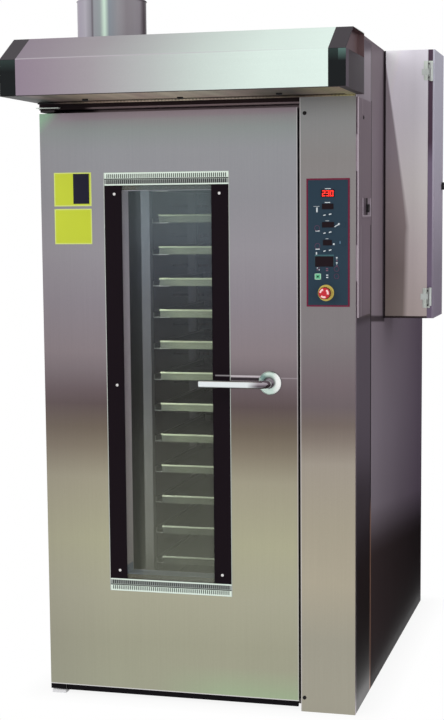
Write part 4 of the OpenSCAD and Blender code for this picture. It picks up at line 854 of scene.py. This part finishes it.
class OVEN_OT_window_parts(bpy.types.Operator):
    """Adds the screws, the pale trims that stand for painted highlights on the window's edges, and
    the dark sheet that stands for painted shade behind the slots
    """

    bl_idname = "oven.window_parts"
    bl_label = "Window parts"

    def execute(self, context):
        sizes = context.scene.oven_sizes
        spots = ((-0.284, 1.773), (-0.284, 1.116), (-0.284, 0.462), (0.088, 1.772), (0.088, 0.463))
        heads = [screw((x, FRONT, z), FACE, sizes.strip_screw, 0.0025) for x, z in spots]
        fit(heads, "strip_screws", "door", "screw_bright")
        low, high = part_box("window_strips")
        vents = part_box("window_vents")
        # The pale trims along the window stand for painted highlights on its cut edges.
        bars = []
        for x in (low.x - 0.0003 - sizes.trim, high.x + 0.0003):
            bars.append(block((x, FRONT - 0.0012, vents[0].z), (x + sizes.trim, FRONT, vents[1].z)))
        fit(bars, "window_edge_highlights", "door", "edge_highlight_pale")
        # A dark sheet behind the slots stands for painted shade inside the door.
        back = [block((low.x, FRONT + 0.006, z0), (high.x, FRONT + 0.0075, z1), 0.0003) for z0,
            z1 in ((vents[0].z + 0.002, vents[0].z + 0.040), (vents[1].z - 0.040,
            vents[1].z - 0.002))]
        fit(back, "vent_shade_sheet", "door", "slot_dark")
        return {"FINISHED"}


class OVEN_OT_sheet_screws(bpy.types.Operator):
    """Adds the dark screws in the column, the canopy and the side cover"""

    bl_idname = "oven.sheet_screws"
    bl_label = "Sheet screws"

    def execute(self, context):
        radius = context.scene.oven_sizes.sheet_screw
        column = [screw((x, FRONT, z), FACE, radius) for x, z in ((0.381, 2.030), (0.376, 0.049))]
        fit(column, "column_screws", "cabinet", "screw_dark")
        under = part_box("hood_underside")[0].z
        places = ((-0.336, -0.133), (-0.016, -0.102), (0.329, -0.148))
        canopy = [screw((x, FRONT + y, under), DOWN, radius * 1.6, 0.005) for x, y in places]
        fit(canopy, "canopy_screws", "cabinet", "screw_dark")
        # Pale discs behind the canopy screws are painted highlights of their glints.
        glint_discs = [drum((x, FRONT + y + 0.020, under), DOWN, radius, 0.001, 20) for x, y in places]
        fit(glint_discs, "canopy_screw_glints", "cabinet", "hinge_pale")
        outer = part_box("side_cover")[0].x + 0.003
        cover = screw((outer, FRONT + 0.126, 2.019), SIDE, radius)
        fit([cover], "cover_screw", "side_cover", "screw_dark")
        return {"FINISHED"}


class OVEN_OT_canopy_trim(bpy.types.Operator):
    """Adds the lip behind the door's upper edge and the bracket's plate at its left end"""

    bl_idname = "oven.canopy_trim"
    bl_label = "Canopy trim"

    def execute(self, context):
        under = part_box("hood_underside")[0].z
        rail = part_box("front_frame")[1].x
        lip = block((-0.552, FRONT - 0.015, under - 0.0045), (rail, FRONT - 0.0005, under), 0.0008)
        fit([lip], "canopy_lip", "cabinet", "underside_steel")
        plate = block((-0.555, FRONT - 0.022, 2.0665), (-0.474, FRONT - 0.0005, 2.0695), 0.0006)
        fit([plate], "bracket_plate", "cabinet", "hinge_pale")
        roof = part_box("roof_panel")[1]
        edge = block((roof.x - 0.002, FRONT + 0.001, roof.z),
            (roof.x, FRONT + 0.57, roof.z + 0.002), 0)
        select_facing(edge, FACE)
        bpy.ops.transform.resize(value=(1, 1, 6.5), center_override=(roof.x, FRONT, roof.z))
        bpy.ops.object.mode_set(mode="OBJECT")
        fit([edge], "roof_edge", "cabinet", "side_steel")
        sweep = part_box("door_sweep")
        tail = block((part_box("door_skin")[0].x, FRONT + 0.0002, sweep[0].z + 0.002),
            (sweep[0].x, FRONT + 0.0015, sweep[1].z), 0.0003)
        fit([tail], "sweep_tail", "door", "rubber")
        return {"FINISHED"}


class OVEN_OT_cabinet_fittings(bpy.types.Operator):
    """Adds the hinge leaves of the side cabinet and of its door"""

    bl_idname = "oven.cabinet_fittings"
    bl_label = "Cabinet fittings"

    def execute(self, context):
        face, joint = CABINET_FACE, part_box("ebox_door")[0].x
        door_face = face + 0.003
        rows = ((2.173, 2.241, 0.0170), (1.357, 1.429, 0.0105))
        leaves = [block((joint - 0.0155, face - 0.0022, z0), (joint - 0.0006, face, z1),
            0.0006) for z0, z1, _ in rows]
        fit(leaves, "hinge_leaves", "cabinet", "hinge_pale")
        leaves, screws = [], []
        for z0, z1, wide in rows:
            leaves.append(block((joint + 0.0006, door_face - 0.0022, z0),
                (joint + wide, door_face, z1), 0.0006))
            for z in (z0 + 0.010, z1 - 0.010):
                screws.append(screw((joint + 0.0045, door_face - 0.0022, z), FACE, 0.0036, 0.0014,
                    16))
        fit(leaves, "door_hinge_leaves", "ebox_door", "hinge_pale")
        fit(screws, "door_hinge_screws", "ebox_door", "screw_dark")
        return {"FINISHED"}


# Strokes of a seven-segment digit: a is the top, then clockwise to f, and g is the middle
SEGMENTS = {"0": "abcdef", "2": "abged", "3": "abgcd"}


class OVEN_OT_panel_prints(bpy.types.Operator):
    """Adds the lit digits, the key prints and the small marks of the control panel"""

    bl_idname = "oven.panel_prints"
    bl_label = "Panel prints"

    def execute(self, context):
        thick = context.scene.oven_sizes.print_height
        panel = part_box("control_bezel")
        left, foot = panel[0].x, panel[0].z
        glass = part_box("control_displays")[0].y
        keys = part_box("control_keys")[0].y
        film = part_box("control_plate")[0].y

        def mark(x, z, w, h, surface):
            low = (left + x / 1000, surface - thick, foot + z / 1000)
            high = (left + (x + w) / 1000, surface, foot + (z + h) / 1000)
            return block(low, high, 0.0001)

        def marks(surface, *places):
            return [mark(*place, surface) for place in places]

        def stroke(x, z, w, h, tilt, surface):
            """A slanted bar about its own middle."""
            piece = block((-w / 2000, -thick, -h / 2000), (w / 2000, 0, h / 2000), 0.0001)
            piece.rotation_euler.y = math.radians(-tilt)
            piece.location = (left + x / 1000, surface, foot + z / 1000)
            freeze(piece)
            return piece

        def ring(x, z, radius, surface):
            at_rest_mode()
            bpy.ops.mesh.primitive_torus_add(major_radius=radius / 1000, minor_radius=0.0008,
                major_segments=28, minor_segments=8, location=(left + x / 1000, surface,
                foot + z / 1000), rotation=(math.pi / 2, 0, 0))
            piece = bpy.context.object
            freeze(piece)
            return piece

        def spot(x, z, radius, surface):
            return drum((left + x / 1000, surface, foot + z / 1000), FACE, radius / 1000, thick, 20)

        strokes = []
        for i, digit in enumerate("230"):
            x, z, w, h, t = 53.5 + i * 13.5, 364.5, 10.5, 19.0, 2.8
            places = {"a": (x, z + h - t, w, t), "d": (x, z, w, t),
                "g": (x, z + h / 2 - t / 2, w, t), "b": (x + w - t, z + h / 2, t, h / 2),
                "c": (x + w - t, z, t, h / 2), "f": (x, z + h / 2, t, h / 2), "e": (x, z, t, h / 2)}
            strokes += [mark(*places[s], glass) for s in SEGMENTS[digit]]
        fit(strokes, "display_digits", "cabinet", "digit_glow")

        white = marks(film, (62, 388, 20, 2.5), (62, 342.5, 18, 3), (64, 283, 12, 1.6),
            (64, 224, 10, 1.6), (24, 331, 20, 1.2), (33, 312, 5, 16), (30.5, 249, 14, 3.2),
            (30.5, 189, 14, 3.2))
        white += [stroke(104.5, 269.5, 17, 3, 28, film), spot(109, 273, 3.4, film),
            stroke(95, 264, 6, 2, 10, film), spot(92, 207, 3.2, film),
            mark(31.5, 171, 4.5, 10, film)]
        for row in range(3):
            z = 185.5 + row * 59
            white += [stroke(61, z - 1, 8, 3.2, 16, keys), stroke(80, z + 2, 9, 3.8, 16, keys)]
        for z in (160, 143):
            white += marks(film, (99.5, z, 5, 4.5), (100.5, z - 3, 3, 1.6))
        white += marks(keys, (66.5, 95, 7, 4), (66.5, 103, 7, 3.5), (35, 127, 4, 3),
            (41, 120.5, 4, 3))
        fit(white, "panel_marks", "cabinet", "print_white")

        red = marks(keys, (66, 118, 7, 4), (66, 125, 7, 3), (35, 120.5, 4, 3.5), (41, 127, 4, 3))
        red += marks(film, (100, 151, 5, 2.5), (100, 134.5, 5, 2.5))
        fit(red, "panel_red_marks", "cabinet", "print_red")
        rings = [ring(101.5, 125, 8, keys), ring(101.5, 101, 8, keys), ring(36, 260, 8.5, film),
            ring(37, 201, 8.5, film)]
        fit(rings, "key_rings", "cabinet", "print_dark")
        blue = [spot(127, 273, 4, film), spot(128, 214, 4, film), mark(112, 208, 2, 9, film)]
        fit(blue, "panel_blue_marks", "cabinet", "print_blue")
        fit([mark(30.5, 92.5, 16, 15, keys)], "start_key", "cabinet", "key_green")
        fit([spot(38.5, 100, 3, keys - 0.0003)], "start_key_mark", "cabinet",
            "display_smoke")
        bars = marks(keys, (29, 90, 19, 2.6), (29, 107.4, 19, 2.6), (28, 90, 2.6, 20),
            (46.4, 90, 2.6, 20))
        fit(bars, "start_key_edge", "cabinet", "print_mint")
        fit([mark(28, 134.5, 64, 38, film - 0.0001)], "text_window", "cabinet",
            "text_window")
        return {"FINISHED"}


class OVEN_OT_vinyl_patches(bpy.types.Operator):
    """Adds the two plain vinyl patches on the door"""

    bl_idname = "oven.vinyl_patches"
    bl_label = "Vinyl patches"

    def execute(self, context):
        fields, edges = [], []
        for z0, z1 in ((1.733, 1.848), (1.603, 1.724)):
            edges.append(block((-0.503, FRONT - 0.0003, z0), (-0.367, FRONT, z1), 0.0001))
            fields.append(block((-0.499, FRONT - 0.0006, z0 + 0.004),
                (-0.371, FRONT - 0.0003, z1 - 0.004), 0.0001))
        dark = block((-0.433, FRONT - 0.0009, 1.741), (-0.375, FRONT - 0.0006, 1.8435), 0.0001)
        fit([dark], "vinyl_dark_field", "door", "vinyl_navy")
        fit(edges, "vinyl_edges", "door", "vinyl_border")
        fit(fields, "vinyl_fields", "door", "vinyl_lime")
        return {"FINISHED"}


class OVEN_OT_tray_rims(bpy.types.Operator):
    """Rolls a bead round the upper edge of every tray"""

    bl_idname = "oven.tray_rims"
    bl_label = "Tray rims"

    def execute(self, context):
        size = context.scene.oven_sizes.rim
        low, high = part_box("trays")
        count, height = 15, 0.028  # Trays, and how tall one is
        pitch = (high.z - low.z - height) / (count - 1)
        parts = []
        for i in range(count):
            z = low.z + i * pitch + height
            for y in (low.y, high.y):
                parts.append(block((low.x - 0.001, y - size / 2, z - size),
                    (high.x + 0.001, y + size / 2, z + 0.001), 0.0016))
            for x in (low.x, high.x):
                parts.append(block((x - size / 2, low.y, z - size),
                    (x + size / 2, high.y, z + 0.001), 0.0016))
        fit(parts, "tray_rims", "rack", "tray_rim")
        return {"FINISHED"}


class OVEN_OT_stage(bpy.types.Operator):
    """Sets up the floor, the soft lights, the white background and the camera"""

    bl_idname = "oven.stage"
    bl_label = "Studio"

    def execute(self, context):
        studio = context.scene.oven_studio
        self.floor(studio)
        self.lights(studio)
        self.world(studio)
        self.camera(context)
        context.scene.view_settings.view_transform = "Standard"
        return {"FINISHED"}

    def floor(self, studio):
        """White for the eye, with the soft shadow kept close round the oven's foot."""
        at_rest_mode()
        bpy.ops.mesh.primitive_plane_add(size=24, location=(0, 2, 0))
        ground = bpy.context.object
        ground.name = "studio_floor"
        freeze(ground)
        board = Board("studio_floor")
        x, y, _ = board.axes()
        across, along = (abs(x) - 0.55).at_least(0.0), (abs(y) - 0.80).at_least(0.0)
        away = ((across * across + along * along) ** 0.5 * 8.0).held()
        fine = board.noise(2, 2.0, 0.5)
        board.set(base_color=board.dimmed(tuple(studio.ground), 0.98 + fine * 0.04), roughness=0.8)
        seen = board.add("ShaderNodeLightPath", {}, {}, "Is Camera Ray")
        gloss = board.add("ShaderNodeLightPath", {}, {}, "Is Glossy Ray")
        glow = board.add("ShaderNodeEmission", {}, {0: (1, 1, 1, 1), 1: 1.0})
        blend = board.add("ShaderNodeMixShader", {},
            {0: (seen + gloss).held() * (away * 0.12 + 0.88),
            1: Signal(board, board.shader.outputs[0]), 2: glow})
        board.show(blend)
        ground.data.materials.append(board.material)
        self.card("dark_ground", (3.9, 1.6, 0.004), (6.6, 5.0), 0, "1e1618")
        self.card("grey_wall", (3.9, 4.1, 1.6), (6.6, 3.2), math.pi / 2, "706872")

    def card(self, name, place, size, tilt, colour):
        """A plain card that only polished metal sees, beside and behind the right flank."""
        at_rest_mode()
        bpy.ops.mesh.primitive_plane_add(size=1, location=place, rotation=(tilt, 0, 0))
        sheet = bpy.context.object
        sheet.name = name
        sheet.scale = (size[0], size[1], 1)
        freeze(sheet)
        board = Board(name)
        board.show(board.add("ShaderNodeEmission", {}, {0: colour, 1: 1.0}))
        sheet.data.materials.append(board.material)
        sheet.visible_camera = False
        sheet.visible_diffuse = False
        sheet.visible_transmission = False
        sheet.visible_shadow = False

    def lights(self, studio):
        def panel(name, place, aim, size, power):
            at_rest_mode()
            bpy.ops.object.light_add(type="AREA", location=place)
            lamp = bpy.context.object
            lamp.name = name
            lamp.data.shape = "RECTANGLE"
            lamp.data.size, lamp.data.size_y = size
            lamp.data.energy = power
            lamp.rotation_euler = (Vector(aim) - Vector(place)).to_track_quat("-Z", "Y").to_euler()
            lamp.visible_camera = False
            lamp.visible_glossy = False
            lamp.visible_transmission = False

        panel("key_light", (-2.6, -4.2, 3.6), (0, 0, 1.1), (2.5, 2.5), studio.key)
        panel("soft_right", (3.6, -2.6, 2.4), (0, 0, 1.2), (2.0, 3.0), studio.key * 0.5)
        panel("chamber_light", (-0.30, FRONT + 0.10, 1.15), (0.05, FRONT + 0.5, 1.15), (0.04, 1.4),
            2.2)
        panel("chamber_light_right", (0.26, FRONT + 0.10, 1.15), (-0.05, FRONT + 0.5, 1.15),
            (0.04, 1.4), 2.2)

    def world(self, studio):
        """White for the eye and in reflections, an even light for everything else."""
        bpy.context.scene.world = bpy.data.worlds.new("studio")
        board = Board("studio", bpy.context.scene.world)
        kinds = "Is Camera Ray", "Is Glossy Ray", "Is Transmission Ray"
        rays = [board.add("ShaderNodeLightPath", {}, {}, kind) for kind in kinds]
        seen = rays[0].at_least(rays[1]).at_least(rays[2])
        even = board.add("ShaderNodeBackground", {}, {0: (1, 1, 1, 1), 1: studio.fill})
        white = board.add("ShaderNodeBackground", {}, {0: (1, 1, 1, 1), 1: 1.0})
        board.show(board.add("ShaderNodeMixShader", {}, {0: seen, 1: even, 2: white}))

    def camera(self, context):
        yaw, pitch, roll = (math.radians(a) for a in (15.03, 6.39, -0.48))
        ahead = Vector((-math.sin(yaw) * math.cos(pitch), math.cos(yaw) * math.cos(pitch),
            -math.sin(pitch)))
        right = Vector((math.cos(yaw), math.sin(yaw), 0))
        up = right.cross(ahead)
        level = math.cos(roll) * right + math.sin(roll) * up
        raised = math.cos(roll) * up - math.sin(roll) * right
        at_rest_mode()
        bpy.ops.object.camera_add()
        camera = bpy.context.object
        camera.name = "photo_camera"
        turn = Matrix((level, raised, -ahead)).transposed().to_4x4()
        camera.matrix_world = Matrix.Translation((1.459, -5.913, 1.697)) @ turn
        camera.data.sensor_fit = "VERTICAL"
        sensor, tall, focal, shift = 36, 720, 1557.6, 30  # Millimetres, then pixels of the photo
        camera.data.sensor_height = sensor
        camera.data.lens = focal * sensor / tall
        camera.data.shift_y = shift / tall
        camera.data.clip_end = 60
        context.scene.camera = camera


class OVEN_PT_panel(bpy.types.Panel):
    """Lists the steps that dress the oven"""

    bl_idname = "OVEN_PT_panel"
    bl_label = "Rack Oven"
    bl_space_type = "VIEW_3D"
    bl_region_type = "UI"
    bl_category = "Rack Oven"

    def draw(self, context):
        column = self.layout.column()
        for group in (context.scene.oven_sizes, context.scene.oven_studio):
            for name in group.__annotations__:
                column.prop(group, name)
        for step in STEPS:
            column.operator(step.bl_idname)


STEPS = (OVEN_OT_finishes, OVEN_OT_window_parts, OVEN_OT_sheet_screws, OVEN_OT_canopy_trim,
    OVEN_OT_cabinet_fittings, OVEN_OT_panel_prints, OVEN_OT_vinyl_patches, OVEN_OT_tray_rims,
    OVEN_OT_stage)
CLASSES = (OvenSizes, OvenStudio) + STEPS + (OVEN_PT_panel,)


def register():
    for item in CLASSES:
        bpy.utils.register_class(item)
    bpy.types.Scene.oven_sizes = bpy.props.PointerProperty(type=OvenSizes)
    bpy.types.Scene.oven_studio = bpy.props.PointerProperty(type=OvenStudio)


def unregister():
    del bpy.types.Scene.oven_studio
    del bpy.types.Scene.oven_sizes
    for item in reversed(CLASSES):
        bpy.utils.unregister_class(item)


def main():
    register()
    for step in STEPS:
        group, name = step.bl_idname.split(".")
        getattr(getattr(bpy.ops, group), name)()


if __name__ == "__main__":
    main()
